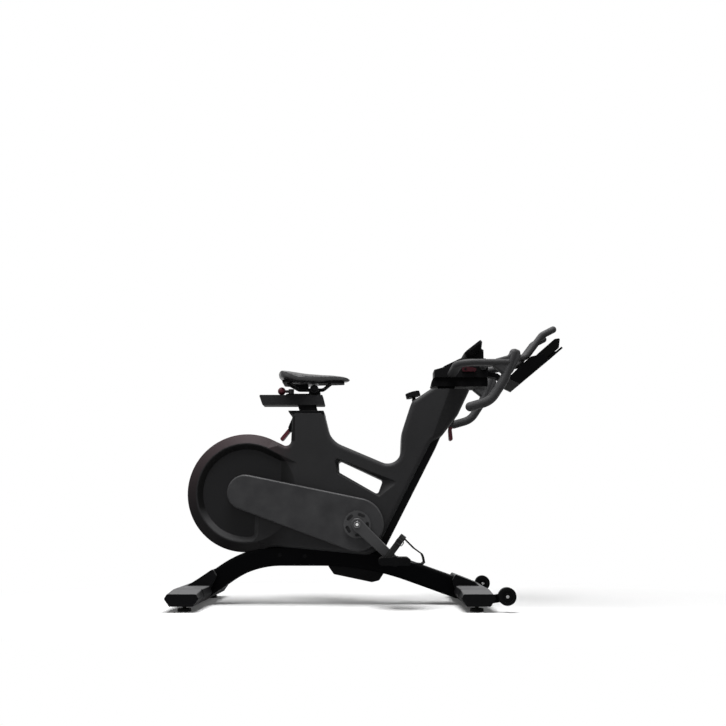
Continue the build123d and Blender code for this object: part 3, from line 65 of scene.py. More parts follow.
def place(tree, kind, inputs=None, **settings):
    """Put one node in a shader tree: settings are its own, inputs are values or sockets to link."""
    node = tree.nodes.new(kind)
    for name, value in settings.items():
        setattr(node, name, value)
    for key, value in (inputs or {}).items():
        if isinstance(value, bpy.types.NodeSocket):
            tree.links.new(value, node.inputs[key])
        else:
            node.inputs[key].default_value = value
    return node


def object_place(tree):
    """Each point's place on the piece, in metres."""
    return place(tree, "ShaderNodeTexCoord").outputs["Object"]


def number_math(tree, operation, *inputs):
    """One sum on sockets and values, as a socket."""
    return place(tree, "ShaderNodeMath", dict(enumerate(inputs)), operation=operation).outputs[0]


def vector_math(tree, operation, *inputs):
    """One sum on vectors, as a socket: a number for a length or a dot product, otherwise a vector."""
    found = place(tree, "ShaderNodeVectorMath", dict(enumerate(inputs)), operation=operation).outputs
    return found["Value" if operation in ("LENGTH", "DOT_PRODUCT") else "Vector"]


def times(tree, first, *others):
    """Product of sockets and values, as a socket."""
    for other in others:
        first = number_math(tree, "MULTIPLY", first, other)
    return first


def ramp(tree, value, start, end, low=0.0, high=1.0):
    """Straight ramp of a socket: low at the start, high at the end and level beyond them."""
    limits = {"Value": value, "From Min": start, "From Max": end, "To Min": low, "To Max": high}
    return place(tree, "ShaderNodeMapRange", limits).outputs[0]


def blend_colours(tree, factor, first, second):
    """Mix two colours, or sockets, by a factor socket; give back the colour socket."""
    return place(tree, "ShaderNodeMix", {0: factor, 6: first, 7: second}, data_type="RGBA").outputs[2]


def upward(tree):
    """Height of each face's normal: one where it looks straight up."""
    normal = place(tree, "ShaderNodeNewGeometry").outputs["Normal"]
    return place(tree, "ShaderNodeSeparateXYZ", {"Vector": normal}).outputs["Z"]


def shared_group(name, inputs, outputs):
    """Start a node group with named float inputs and typed outputs; give back its tree and two ends."""
    tree = bpy.data.node_groups.new(name, "ShaderNodeTree")
    for label, value in inputs.items():
        socket = tree.interface.new_socket(name=label, in_out="INPUT", socket_type="NodeSocketFloat")
        socket.default_value = value
    for label, kind in outputs.items():
        tree.interface.new_socket(name=label, in_out="OUTPUT", socket_type=kind)
    return tree, tree.nodes.new("NodeGroupInput").outputs, tree.nodes.new("NodeGroupOutput").inputs


def pebble_grain():
    """Pebbled relief: cell distance times noise as the height, and a slow mottle for the shade."""
    tree, given, out = shared_group(
        "pebble_grain",
        {"Scale": 900.0, "Mottle Scale": 14.0},
        {"Height": "NodeSocketFloat", "Mottle": "NodeSocketFloat"},
    )
    where = object_place(tree)
    cells = place(tree, "ShaderNodeTexVoronoi", {"Vector": where, "Scale": given["Scale"]})
    rough = place(tree, "ShaderNodeTexNoise", {"Vector": where, "Scale": given["Scale"], "Detail": 3.0})
    slow = place(tree, "ShaderNodeTexNoise", {"Vector": where, "Scale": given["Mottle Scale"], "Detail": 4.0})
    tree.links.new(times(tree, cells.outputs["Distance"], rough.outputs["Fac"]), out["Height"])
    tree.links.new(slow.outputs["Fac"], out["Mottle"])
    return tree


def soft_edge():
    """Rounds the shading over an edge, and marks the edge where the cosine between the rounded and the flat
    normal falls."""
    tree, given, out = shared_group(
        "soft_edge", {"Radius": 0.001}, {"Mask": "NodeSocketFloat", "Normal": "NodeSocketVector"}
    )
    rounded = place(tree, "ShaderNodeBevel", {"Radius": given["Radius"]}, samples=6).outputs["Normal"]
    flat = place(tree, "ShaderNodeNewGeometry").outputs["Normal"]
    facing = vector_math(tree, "DOT_PRODUCT", rounded, flat)
    tree.links.new(ramp(tree, facing, EDGE_STARTS, EDGE_FULL), out["Mask"])
    tree.links.new(rounded, out["Normal"])
    return tree


def fine_dust():
    """Dust settles where a face looks up: the normal's height, ramped, times broken noise and an amount."""
    tree, given, out = shared_group("fine_dust", {"Amount": 0.1}, {"Mask": "NodeSocketFloat"})
    broken = {"Vector": object_place(tree), "Scale": 60.0, "Detail": 6.0, "Roughness": 0.7}
    speck = place(tree, "ShaderNodeTexNoise", broken).outputs["Fac"]
    tree.links.new(times(tree, ramp(tree, upward(tree), *DUST_RISE), speck, given["Amount"]), out["Mask"])
    return tree


GRAIN = pebble_grain()
EDGE = soft_edge()
DUST = fine_dust()


def new_finish(name):
    """Start a material; give back the material, its tree and the Principled shader's inputs."""
    skin = bpy.data.materials.new(name)
    skin.use_nodes = True
    return skin, skin.node_tree, skin.node_tree.nodes["Principled BSDF"].inputs


def moulded(name, colour, pale, roughness, gloss=0.35, scale=900.0, relief=0.00005, edge=0.0012, dust=0.06):
    """Coated or moulded finish: mottled colour, soft edges painted paler as a highlight, dust on top and
    pebbled relief.
    """
    skin, tree, shader = new_finish(name)
    grain = place(tree, "ShaderNodeGroup", {"Scale": scale}, node_tree=GRAIN).outputs
    rim = place(tree, "ShaderNodeGroup", {"Radius": edge}, node_tree=EDGE).outputs
    lying = place(tree, "ShaderNodeGroup", {"Amount": dust}, node_tree=DUST).outputs
    shade = ramp(tree, grain["Mottle"], 0.0, 1.0, 0.0, MOTTLE_SHARE)
    base = blend_colours(tree, shade, paint(colour), paint(pale))
    # Edges are painted paler, a painted highlight along them.
    edge_lit = blend_colours(tree, times(tree, rim["Mask"], EDGE_HIGHLIGHT_SHARE), base, paint(pale))
    dusty = blend_colours(tree, lying["Mask"], edge_lit, paint(DUST_GREY))
    polish = ramp(tree, grain["Mottle"], 0.0, 1.0, roughness - POLISH_SWING, roughness + POLISH_SWING)
    pebbles = {"Distance": relief, "Height": grain["Height"], "Normal": rim["Normal"]}
    bump = place(tree, "ShaderNodeBump", pebbles)
    tree.links.new(dusty, shader["Base Color"])
    tree.links.new(polish, shader["Roughness"])
    tree.links.new(bump.outputs["Normal"], shader["Normal"])
    shader["Specular IOR Level"].default_value = gloss
    return skin


def wear(skin, *names):
    """Give CAD pieces a finish."""
    for name in names:
        mesh = frame["nodes"][name].data
        mesh.materials.clear()
        mesh.materials.append(skin)


powder_black = moulded(
    "powder_black", ARCH_BLACK, ARCH_EDGE, 0.5, gloss=0.02, scale=500.0, relief=0.00012, dust=0.02
)
wear(powder_black, "base_arch", "rear_stabilizer", "front_stabilizer", "main_frame")

# Stabilizer covers: grained nylon end caps and boots pushed over the two bars.
# Their upper faces are painted paler, as painted light from above, and their ends stay black.
TOP_LIGHT_GREY = "#6a6a6b"
TOP_LIGHT_SHARE = 0.8
TOP_LIGHT_RISE = (0.35, 0.75)


def overpaint(skin, mask, colour):
    """Lay a second colour, or colour socket, over a finish where a mask socket nears one."""
    tree = skin.node_tree
    base = tree.nodes["Principled BSDF"].inputs["Base Color"]
    coat = paint(colour) if isinstance(colour, str) else colour
    tree.links.new(blend_colours(tree, mask, base.links[0].from_socket, coat), base)
    return skin


def lit_top_colour(skin, colour, amount):
    """Paler colour where a face looks up, painted light from above: the normal's height, ramped to an amount.
    """
    tree = skin.node_tree
    return overpaint(skin, ramp(tree, upward(tree), *TOP_LIGHT_RISE, 0.0, amount), colour)


cap_nylon = moulded("cap_nylon", "#08080a", "#232324", 0.6, gloss=0.04, scale=700.0, relief=0.00012, dust=0.1)
wear(lit_top_colour(cap_nylon, TOP_LIGHT_GREY, TOP_LIGHT_SHARE), "stabilizer_end_caps", "arch_boots")

# Levelling feet: soft black rubber pads moulded on threaded steel stems.
# The stems screw up into the bars, so that each foot can be set to the floor.
foot_rubber = moulded("foot_rubber", "#1a1a1a", "#3a3a39", 0.8, gloss=0.1, scale=400.0, relief=0.0002)
for end in ("rear", "front"):
    wear(foot_rubber, f"levelling_foot_{end}_right", f"levelling_foot_{end}_left")

# Transport wheels: solid discs of cast black urethane at the two ends of the front bar.
# Each turns on a shouldered bolt, clear of the floor until the bike is tipped forward.
wheel_urethane = moulded("wheel_urethane", "#050506", "#222223", 0.4, gloss=0.04, scale=300.0, relief=0.0001)
wear(wheel_urethane, "transport_wheel_right", "transport_wheel_left")

# Battery box: an injection moulded black tray under the crown of the arch.
# It is screwed up into the beam from below.
box_black = moulded("box_black", "#060607", "#1c1c1d", 0.6, gloss=0.04, scale=800.0)
wear(box_black, "battery_box")

# Body shells: two injection moulded halves of charcoal plastic, screwed together on the middle plane.
# A dark line shows where they part, and the strip behind the seat column is black.
# The wheel ring's sloping band has a warm cast with painted light and shade: pale at the top, black at the
# bottom, and a maroon line on its rim fades out downwards with it. The wheel pocket and the front facet are
# painted darker as painted shade, and the pocket's wall is painted black above as shade and pale below as
# light.
BAND_INNER = 0.1695
BAND_FADE = 0.004
BAND_FRONT = (0.155, 0.08)
BAND_LIT = (-0.08, 0.2)
BAND_SHADE_BLACK = "#030203"
BAND_LIT_WARM = "#3c3335"
RIM_LINE = 0.2025
RIM_FADE = 0.0008
RIM_CORNER = 0.031
RIM_MAROON = "#3a161c"
LINE_FADE = 0.001
PARTING_HALF = 0.0007
PARTING_BLACK = "#050505"
POCKET_LIP = 0.0515
POCKET_LIP_FADE = 0.003
POCKET_RIM_FADE = 0.006
POCKET_FLOOR = 0.0345
POCKET_FRONT = (0.185, 0.125)
POCKET_SHADE_GREY = "#1a1a1b"
WALL_LIT_BELOW = (-0.11, -0.05)
WALL_SHADE_BLACK = "#050505"
WALL_LIT_PALE = "#3c3c3d"
STRIP_X = -0.2745
STRIP_FOOT = 0.559
STRIP_HEAD = 0.648
STRIP_REAR = (0.12, 0.13)
STRIP_BLACK = "#060607"
FACET_FOOT = (0.18625, 0.0, 0.531)
FACET_NORMAL = (0.9375, 0.0, -0.348)
FACET_TILT = math.radians(14)
FACET_FADE = 0.004
FACET_SHADE = 0.55
FACET_SHADE_BLACK = "#0c0c0d"


def joint_spot(name):
    """Place of a joint in the part's frame."""
    return [joint["pos_m"] for joint in frame["joints"] if joint["name"] == name][0]


def from_axis(tree, axis):
    """Each point's offset from an axis along Y, and its distance: the length of (x - x0, 0, z - z0)."""
    offset = vector_math(tree, "SUBTRACT", object_place(tree), axis)
    return offset, vector_math(tree, "LENGTH", vector_math(tree, "MULTIPLY", offset, (1, 0, 1)))


def shell_skin(axis):
    """Moulded charcoal with masks by place, each a product of ramps: distance from the wheel's axis for the
    band, its rim and the pocket, |y| for the parting line and the pocket's depth, length and height for the
    rear strip, and the reach past a slanted line for the facet, which also tilts the normal there."""
    skin = moulded("shell_charcoal", "#232324", "#373738", 0.5, gloss=0.1, scale=1100.0, dust=0.06)
    tree = skin.node_tree
    where = object_place(tree)
    x, y, z = place(tree, "ShaderNodeSeparateXYZ", {"Vector": where}).outputs
    side = number_math(tree, "ABSOLUTE", y)
    offset, radius = from_axis(tree, axis)
    ahead, _, above = place(tree, "ShaderNodeSeparateXYZ", {"Vector": offset}).outputs

    # Band: painted light and shade, black at the bottom and warm pale at the top; the maroon rim line fades
    # out downwards with it.
    behind = ramp(tree, ahead, *BAND_FRONT)
    lit = ramp(tree, above, *BAND_LIT)
    band = times(tree, ramp(tree, radius, BAND_INNER, BAND_INNER + BAND_FADE), behind)
    overpaint(skin, band, blend_colours(tree, lit, paint(BAND_SHADE_BLACK), paint(BAND_LIT_WARM)))
    rim = ramp(tree, radius, RIM_LINE, RIM_LINE + RIM_FADE)
    corner = ramp(tree, side, RIM_CORNER, RIM_CORNER + LINE_FADE)
    overpaint(skin, times(tree, rim, behind, lit, corner), RIM_MAROON)
    overpaint(skin, ramp(tree, side, PARTING_HALF, PARTING_HALF / 2), PARTING_BLACK)

    # Pocket: painted shade darkens it; its wall is painted black above as shade and pale below as painted
    # light.
    sunk = ramp(tree, side, POCKET_LIP, POCKET_LIP - POCKET_LIP_FADE)
    within = ramp(tree, radius, BAND_INNER + POCKET_RIM_FADE, BAND_INNER)
    pocket = times(tree, sunk, within, ramp(tree, ahead, *POCKET_FRONT))
    overpaint(skin, pocket, POCKET_SHADE_GREY)
    wall = times(tree, pocket, ramp(tree, side, POCKET_FLOOR, POCKET_FLOOR + LINE_FADE))
    dark = times(tree, wall, ramp(tree, above, *WALL_LIT_BELOW))
    overpaint(skin, dark, WALL_SHADE_BLACK)
    overpaint(skin, number_math(tree, "SUBTRACT", wall, dark), WALL_LIT_PALE)

    strip = times(
        tree,
        ramp(tree, x, STRIP_X, STRIP_X - LINE_FADE),
        ramp(tree, z, STRIP_FOOT, STRIP_FOOT + LINE_FADE),
        ramp(tree, z, STRIP_HEAD, STRIP_HEAD - LINE_FADE),
        ramp(tree, ahead, *STRIP_REAR),
    )
    overpaint(skin, strip, STRIP_BLACK)

    # Facet: painted shade darkens its colour, and a bump tilts its normal.
    past = vector_math(tree, "SUBTRACT", where, FACET_FOOT)
    reach = vector_math(tree, "DOT_PRODUCT", past, FACET_NORMAL)
    overpaint(skin, ramp(tree, reach, 0.0, FACET_FADE, 0.0, FACET_SHADE), FACET_SHADE_BLACK)
    fall = times(tree, number_math(tree, "MAXIMUM", reach, 0.0), -math.tan(FACET_TILT))
    normal = tree.nodes["Principled BSDF"].inputs["Normal"]
    slope = {"Distance": 1.0, "Height": fall, "Normal": normal.links[0].from_socket}
    tree.links.new(place(tree, "ShaderNodeBump", slope).outputs["Normal"], normal)
    return skin


RING_AXIS = joint_spot("flywheel_spin")
wear(shell_skin(RING_AXIS), "body_shell_right", "body_shell_left")

# Front trim: a long smooth moulding of black plastic down the front of the column.
# It is clipped over the joint between the two shells.
trim_black = moulded("trim_black", "#040405", "#141415", 0.42, gloss=0.04, scale=1200.0, relief=0.00003)
wear(trim_black, "front_trim")

# Drive cover: a charcoal moulding over the belt and pulleys, clipped to the right shell.
# Its face is plain and grained, and its broad bevel is painted much paler as a highlight.
cover_charcoal = moulded("cover_charcoal", "#1f1f21", "#6c6c6d", 0.46, gloss=0.14, scale=1100.0, edge=0.003)
wear(cover_charcoal, "drive_cover")

# Flywheel: a heavy cast iron disc, turned all over, so that fine rings run round its axle.
# It is pressed on its shaft and hidden inside the shells.
RING_RELIEF = 0.00004
RING_POLISH = 0.1


def turned(name, colour, pale, roughness, axis, spacing):
    """Turned metal: noise of the distance from an axis along Y gives rings in shade, gloss and relief."""
    metal, tree, shader = new_finish(name)
    _, away = from_axis(tree, axis)
    lathe = {"W": away, "Scale": 1 / spacing, "Detail": 4.0}
    rings = place(tree, "ShaderNodeTexNoise", lathe, noise_dimensions="1D").outputs["Fac"]
    rim = place(tree, "ShaderNodeGroup", node_tree=EDGE).outputs
    bump = place(tree, "ShaderNodeBump", {"Distance": RING_RELIEF, "Height": rings, "Normal": rim["Normal"]})
    polish = ramp(tree, rings, 0.0, 1.0, roughness - RING_POLISH, roughness + RING_POLISH)
    tree.links.new(blend_colours(tree, rings, paint(colour), paint(pale)), shader["Base Color"])
    tree.links.new(polish, shader["Roughness"])
    tree.links.new(bump.outputs["Normal"], shader["Normal"])
    shader["Metallic"].default_value = 1.0
    return metal


wear(turned("turned_iron", "#5c5b59", "#73716e", 0.45, RING_AXIS, 0.002), "flywheel")

# Shafts, bearings and magnets: ground and plated steel, fine rings round each.
# The bearings are pressed into the frame's bores with the shafts in them, the magnets into the brake arm.
ground_steel = turned("ground_steel", "#9a9a9b", "#b4b4b5", 0.35, RING_AXIS, 0.0006)
wear(ground_steel, "flywheel_shaft", "bearings", "crank_spindle", "pedal_spindles", "brake_magnets")

# Pulleys: aluminium, turned from the bar.
# The small one is fixed on the wheel's shaft and the large one on the crank spindle.
CRANK_AXIS = joint_spot("crank_spin")
for end, axis, node in (("rear", RING_AXIS, "flywheel_pulley"), ("front", CRANK_AXIS, "drive_pulley")):
    wear(turned(f"pulley_{end}", "#a3a4a6", "#bcbdbf", 0.3, axis, 0.001), node)

# Drive belt: a ribbed belt of black rubber on cords.
# It is moulded as one loop and runs under tension between the two pulleys.
wear(moulded("belt_rubber", "#141414", "#242424", 0.75, gloss=0.2, scale=350.0, relief=0.0002), "drive_belt")

# Crank set: forged arms, the right one with a slotted spider disc, painted dark grey.
# Plated bolts hold them on the spindle, bright in the middle and black round it.
BOLT_EYE = 0.0045
EYE_FADE = 0.001
BOLT_BLACK = "#1c1c1d"


def round_colour(skin, axis, radius, colour):
    """Second colour outside a circle about an axis along Y: the distance from the axis, ramped."""
    tree = skin.node_tree
    _, away = from_axis(tree, axis)
    return overpaint(skin, ramp(tree, away, radius, radius + EYE_FADE), colour)


crank_paint = moulded("crank_paint", "#343435", "#58585a", 0.4, gloss=0.25, scale=450.0, relief=0.00008)
wear(crank_paint, "crank_arm_right", "crank_arm_left")
bolt_plate = turned("bolt_plate", "#c8c8c8", "#dededd", 0.25, CRANK_AXIS, 0.0005)
wear(round_colour(bolt_plate, CRANK_AXIS, BOLT_EYE, BOLT_BLACK), "crank_bolts")

# Frame fasteners: black oxide screws through the arch and the shouldered bolts of the transport wheels.
# All are blackened steel, and only the middles of the wheel bolts are bright.
FASTENER_BLACK = "#060607"
CASTER_AXIS = joint_spot("caster_right_spin")
bolt_bright = moulded(
    "bolt_bright", "#c4c4c4", "#dededd", 0.4, gloss=0.04, scale=400.0, relief=0.00003, dust=0.0
)
wear(round_colour(bolt_bright, CASTER_AXIS, BOLT_EYE, FASTENER_BLACK), "frame_fasteners")

# Pedals: bodies and toe clips of black nylon filled with glass.
# Each body is moulded round its bearings, turns on a steel spindle, and has its clip screwed on in front.
pedal_nylon = moulded("pedal_nylon", "#060607", "#1c1c1d", 0.6, gloss=0.04, scale=600.0, relief=0.00015)
wear(pedal_nylon, "pedal_body_right", "pedal_body_left", "toe_clip_right", "toe_clip_left")

# Pedal straps: bands of woven black webbing, looped through each pedal and over its clip.
# A buckle of bent and blackened wire joins each band on its outer side.
# Foot and head are the loop's lowest and highest places from the pedal's axle.
PEDAL_MID = 0.156
STRAP_FOOT = np.array([-0.034, 0.0, -0.004])
STRAP_HEAD = np.array([0.031, 0.0, 0.082])
STRAP_SPAN = 0.074
STRAP_WIDTH = 0.018
STRAP_THICK = 0.0024
STRAP_BEND = 0.016
STRAP_EDGE_POWER = 0.4
STRAP_FACE_POWER = 0.5
STRAP_CORNER_STEPS = 9
STRAP_SECTION_STEPS = 20
WEAVE_SCALE = 260.0
WEAVE_RELIEF = 0.0003
WEB_DARK = "#101010"
WEB_PALE = "#3a3a3a"
BUCKLE_SIZE = (0.024, 0.015)
BUCKLE_BEND = 0.003
BUCKLE_WIRE = 0.0014
BUCKLE_LIFT = 0.0008
BUCKLE_UP = 0.028
BUCKLE_CORNER_STEPS = 7
BUCKLE_WIRE_STEPS = 12


def surface_piece(name, grid, skin, ring):
    """Mesh of a grid of points whose rows are closed loops: row i, column j and their next neighbours make
    one face, and in a ring the last row joins the first."""
    rows, columns = grid.shape[:2]
    i, j = np.meshgrid(np.arange(rows if ring else rows - 1), np.arange(columns), indexing="ij")
    near, far = i * columns, (i + 1) % rows * columns
    j_next = (j + 1) % columns
    faces = np.stack([near + j, far + j, far + j_next, near + j_next], -1)
    mesh = bpy.data.meshes.new(name)
    mesh.from_pydata(grid.reshape(-1, 3).tolist(), [], faces.reshape(-1, 4).tolist())
    mesh.polygons.foreach_set("use_smooth", np.ones(len(mesh.polygons), bool))
    mesh.materials.append(skin)
    piece = bpy.data.objects.new(name, mesh)
    bpy.context.scene.collection.objects.link(piece)
    return piece


def round_box_path(width, length, bend, steps):
    """Points and outward normals round a rectangle whose corners are quarter circles."""
    turn = (np.arange(4)[:, None] * np.pi / 2 + np.linspace(0, np.pi / 2, steps)).ravel()
    normals = np.stack([np.cos(turn), np.sin(turn)], -1)
    corners = np.array([[1, 1], [-1, 1], [-1, -1], [1, -1]]) * (width / 2 - bend, length / 2 - bend)
    return np.repeat(corners, steps, axis=0) + normals * bend, normals


def signed_power(wave, power):
    """The size of a wave raised to a power, with the wave's own sign."""
    return np.sign(wave) * np.abs(wave) ** power


def web_band(width, thick):
    """Section of webbing: an ellipse with its sides and faces flattened by powers, as across and thickness
    offsets."""
    turn = np.linspace(0, 2 * np.pi, STRAP_SECTION_STEPS, endpoint=False)
    across = signed_power(np.cos(turn), STRAP_EDGE_POWER) * width / 2
    return across, signed_power(np.sin(turn), STRAP_FACE_POWER) * thick / 2


def woven_web():
    """Webbing: two crossed waves along Object coordinates give the weave's relief and shade."""
    web, tree, shader = new_finish("woven_web")
    where = object_place(tree)
    thread = {"Vector": where, "Scale": WEAVE_SCALE, "Distortion": 0.6}
    along, cross = (
        place(tree, "ShaderNodeTexWave", thread, bands_direction=way).outputs["Fac"] for way in ("Z", "Y")
    )
    weave = times(tree, along, cross)
    fuzz = place(tree, "ShaderNodeTexNoise", {"Vector": where, "Scale": 900.0, "Detail": 4.0}).outputs["Fac"]
    shade = blend_colours(tree, times(tree, weave, fuzz), paint(WEB_DARK), paint(WEB_PALE))
    bump = place(tree, "ShaderNodeBump", {"Distance": WEAVE_RELIEF, "Height": weave})
    tree.links.new(shade, shader["Base Color"])
    tree.links.new(bump.outputs["Normal"], shader["Normal"])
    shader["Roughness"].default_value = 0.85
    shader["Specular IOR Level"].default_value = 0.2
    return web


web_black = woven_web()
buckle_steel = moulded("buckle_steel", "#101011", "#3a3a3b", 0.35, gloss=0.4, scale=300.0, relief=0.00002)
for hand, side in (("right", -1), ("left", 1)):
    eye = np.array(joint_spot(f"pedal_{hand}_spin")) * (1, 0, 1)
    length = np.linalg.norm(STRAP_HEAD - STRAP_FOOT)
    rise = (STRAP_HEAD - STRAP_FOOT) / length
    ahead = np.cross([0, 1, 0], rise)
    centre = eye + (STRAP_FOOT + STRAP_HEAD) / 2 + np.array([0, side * PEDAL_MID, 0])
    spots, normals = round_box_path(
        STRAP_SPAN - STRAP_THICK, length - STRAP_THICK, STRAP_BEND, STRAP_CORNER_STEPS
    )
    across, through = web_band(STRAP_WIDTH, STRAP_THICK)
    plane = np.stack([np.array([0.0, 1.0, 0.0]), rise])
    grid = (
        centre
        + (spots @ plane)[:, None, :]
        + (normals @ plane)[:, None, :] * through[None, :, None]
        + ahead * across[None, :, None]
    )
    strap = surface_piece(f"webbing_strap_{hand}", grid[::-1], web_black, ring=True)
    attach(strap, f"pedal_{hand}")
    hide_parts(f"pedal_strap_{hand}")

    # The wire's loop runs the other way on the right side, so its rows are turned round to face outwards.
    outside = centre + np.array([0, side * (STRAP_SPAN / 2 + BUCKLE_LIFT), 0]) + rise * BUCKLE_UP
    spots, normals = round_box_path(*BUCKLE_SIZE, BUCKLE_BEND, BUCKLE_CORNER_STEPS)
    plane = np.stack([ahead, rise])
    turn = np.linspace(0, 2 * np.pi, BUCKLE_WIRE_STEPS, endpoint=False)
    grid = (
        outside
        + (spots @ plane)[:, None, :]
        + (normals @ plane)[:, None, :] * np.cos(turn)[None, :, None] * BUCKLE_WIRE
        + np.array([0.0, -side, 0.0]) * np.sin(turn)[None, :, None] * BUCKLE_WIRE
    )
    buckle = surface_piece(f"strap_buckle_{hand}", grid[::side], buckle_steel, ring=True)
    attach(buckle, f"pedal_{hand}")

# Brake: a bent steel arm that swings its magnets over the flywheel's rim, and the plunger under the knob.
# Both are powder coated as the frame is. The arm turns on a pin and the plunger slides in the column.
wear(powder_black, "brake_arm", "knob_plunger")

# Resistance knob: a fluted black moulding on top of the column.
# It is pressed on the plunger's stem, turned to set the brake and pushed to stop the wheel.
knob_black = moulded("knob_black", "#0b0b0c", "#2c2c2d", 0.5, gloss=0.04, scale=900.0, relief=0.0001)
wear(knob_black, "resistance_knob")

# Seat and handlebar posts: steel tubes welded to slotted rails and coated in satin black.
# They slide in the two columns, the seat's in a collar of black nylon, and its rail is a shade paler.
POST_BLACK = "#0a0a0b"
POST_EDGE = "#2a2a2b"
RAIL_GREY = "#2c2c2d"
RAIL_FOOT = 0.686
RAIL_FADE = 0.004


def part_colour(skin, direction, start, end, colour):
    """Second colour on one end of a piece: the size of the place's dot product with a direction, ramped."""
    tree = skin.node_tree
    along = vector_math(tree, "DOT_PRODUCT", object_place(tree), direction)
    return overpaint(skin, ramp(tree, number_math(tree, "ABSOLUTE", along), start, end), colour)


post_satin, rail_satin = (
    moulded(name, POST_BLACK, POST_EDGE, 0.42, gloss=0.01, scale=600.0, relief=0.00006)
    for name in ("post_satin", "rail_satin")
)
wear(post_satin, "handlebar_post")
wear(part_colour(rail_satin, (0, 0, 1), RAIL_FOOT, RAIL_FOOT + RAIL_FADE, RAIL_GREY), "seat_post")
wear(box_black, "seat_collar")

# Clamp levers: dark red grips moulded over black painted steel, each on a threaded clamp bolt.
# The seat lever is a red ball on a black hub, and the two post levers are red below their pivots.
LEVER_BLACK = "#0b0b0c"
BALL_EDGE = 0.3145
BALL_FADE = 0.002
GRIP_TOP = 0.612
GRIP_FADE = 0.003


def grip_red(name):
    """Dark red soft grip."""
    return moulded(name, "#4c1721", "#6c2b36", 0.45, gloss=0.25, scale=900.0)


wear(moulded("bar_lever_red", "#2c0f15", "#4a1c25", 0.5, gloss=0.1, scale=900.0), "bar_lever")
ball_red = part_colour(grip_red("ball_red"), (1, 0, 0), BALL_EDGE, BALL_EDGE - BALL_FADE, LEVER_BLACK)
wear(ball_red, "seat_lever")
post_red = part_colour(grip_red("post_lever_red"), (0, 0, 1), GRIP_TOP, GRIP_TOP + GRIP_FADE, LEVER_BLACK)
wear(post_red, "seat_height_lever", "bar_height_lever")

# Seat latch: two black moulded cheeks behind the column that guard the seat height lever.
# They stand on the frame's lever lugs, one on each side of the lever, and the lever swings between them.
LATCH_SIDE = [(-0.2815, 0.6473), (-0.2874, 0.6473), (-0.3024, 0.6115), (-0.2998, 0.5987), (-0.2815, 0.5955)]
LATCH_IN = 0.0150
LATCH_OUT = 0.0205
LATCH_BEND = 0.002
SLAB_CORNER_STEPS = 7
SLAB_EDGE_STEPS = 6


def rounded_slab(corners, half, bend):
    """Plate along Y: its side outline has quarter turns at the corners, and towards both faces the outline
    draws in to its centre by bend * (1 - cos a) while y grows by bend * sin a, a from 0 to 90 degrees."""
    corners = np.array(corners)
    before, after = np.roll(corners, 1, axis=0) - corners, np.roll(corners, -1, axis=0) - corners
    before *= bend / np.linalg.norm(before, axis=1)[:, None]
    after *= bend / np.linalg.norm(after, axis=1)[:, None]
    t = np.linspace(0, 1, SLAB_CORNER_STEPS)[None, :, None]
    outline = (corners[:, None] + before[:, None] * (1 - t) ** 2 + after[:, None] * t**2).reshape(-1, 2)
    centre = outline.mean(axis=0)
    reach = np.linalg.norm(outline - centre, axis=1).min()
    quarter = np.linspace(0, np.pi / 2, SLAB_EDGE_STEPS)
    a = np.concatenate([-quarter[::-1], quarter])
    y = np.repeat([-1, 1], SLAB_EDGE_STEPS) * (half - bend) + bend * np.sin(a)
    size = 1 - bend * (1 - np.cos(a)) / reach
    size = np.concatenate([[0.0], size, [0.0]])
    y = np.concatenate([[y[0]], y, [y[-1]]])
    side = centre + (outline - centre)[None] * size[:, None, None]
    return np.stack([side[..., 0], np.broadcast_to(y[:, None], side.shape[:2]), side[..., 1]], -1)


for hand, side in (("right", -1), ("left", 1)):
    cheek = rounded_slab(LATCH_SIDE, (LATCH_OUT - LATCH_IN) / 2, LATCH_BEND)
    cheek += np.array([0.0, side * (LATCH_OUT + LATCH_IN) / 2, 0.0])
    latch = surface_piece(f"seat_latch_{hand}", cheek, box_black, ring=False)
    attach(latch, "frame")

# Seat carriage and clamp: cast aluminium, painted black, that slides on the rail.
# The clamp grips the saddle's bent steel rails, whose ends are sprung into a moulded nylon shell.
cast_black = moulded("cast_black", "#09090a", "#252526", 0.45, gloss=0.04, scale=350.0, relief=0.00012)
wear(cast_black, "seat_carriage", "saddle_clamp", "saddle_rails")
wear(box_black, "saddle_shell")

# Saddle bracket: a black moulded wedge under the shell's tail, between the two rails.
# It is screwed up into the shell and holds the rails at their rear bend.
BRACKET_SIDE = [(-0.3, 0.772), (-0.2665, 0.7535), (-0.2335, 0.75), (-0.2335, 0.769)]
BRACKET_HALF = 0.0135
BRACKET_BEND = 0.003
wedge = rounded_slab(BRACKET_SIDE, BRACKET_HALF, BRACKET_BEND)
bracket = surface_piece("saddle_bracket", wedge, box_black, ring=False)
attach(bracket, "saddle")

# Saddle pad: foam on the moulded shell, broad at the tail and narrow at the nose, under stretched vinyl.
# The cover is drawn tight by a cloth simulation over a slightly smaller form, and a sewn welt runs round it.
# Stations run from tail to nose: distance along the bike, half width, crown, widest height and underside.
SADDLE_STATIONS = np.array(
    [
        (-0.342, 0.034, 0.804, 0.797, 0.789),
        (-0.331, 0.058, 0.814, 0.802, 0.785),
        (-0.309, 0.074, 0.813, 0.797, 0.776),
        (-0.274, 0.077, 0.806, 0.788, 0.765),
        (-0.234, 0.062, 0.802, 0.785, 0.765),
        (-0.189, 0.039, 0.802, 0.788, 0.770),
        (-0.139, 0.025, 0.801, 0.791, 0.777),
        (-0.099, 0.021, 0.795, 0.788, 0.777),
        (-0.082, 0.013, 0.790, 0.785, 0.778),
    ]
)
SADDLE_ROUND = 0.016
SADDLE_ROWS = 96
SADDLE_COLUMNS = 72
ARCH_POWERS = (0.8, 0.95)
BELLY_POWERS = (0.5, 0.7)
COVER_VOXEL = 0.0045
COVER_EASE = 8
COVER_DRAW = 0.002
COVER_HELD_BELOW = -0.4
COVER_PRESSURE = 4.0
COVER_FRAMES = 20
COVER_CAP = 0.005
WELT_RADIUS = 0.0011
WELT_COLUMN = 3
WELT_END = 5
WELT_STEPS = 10


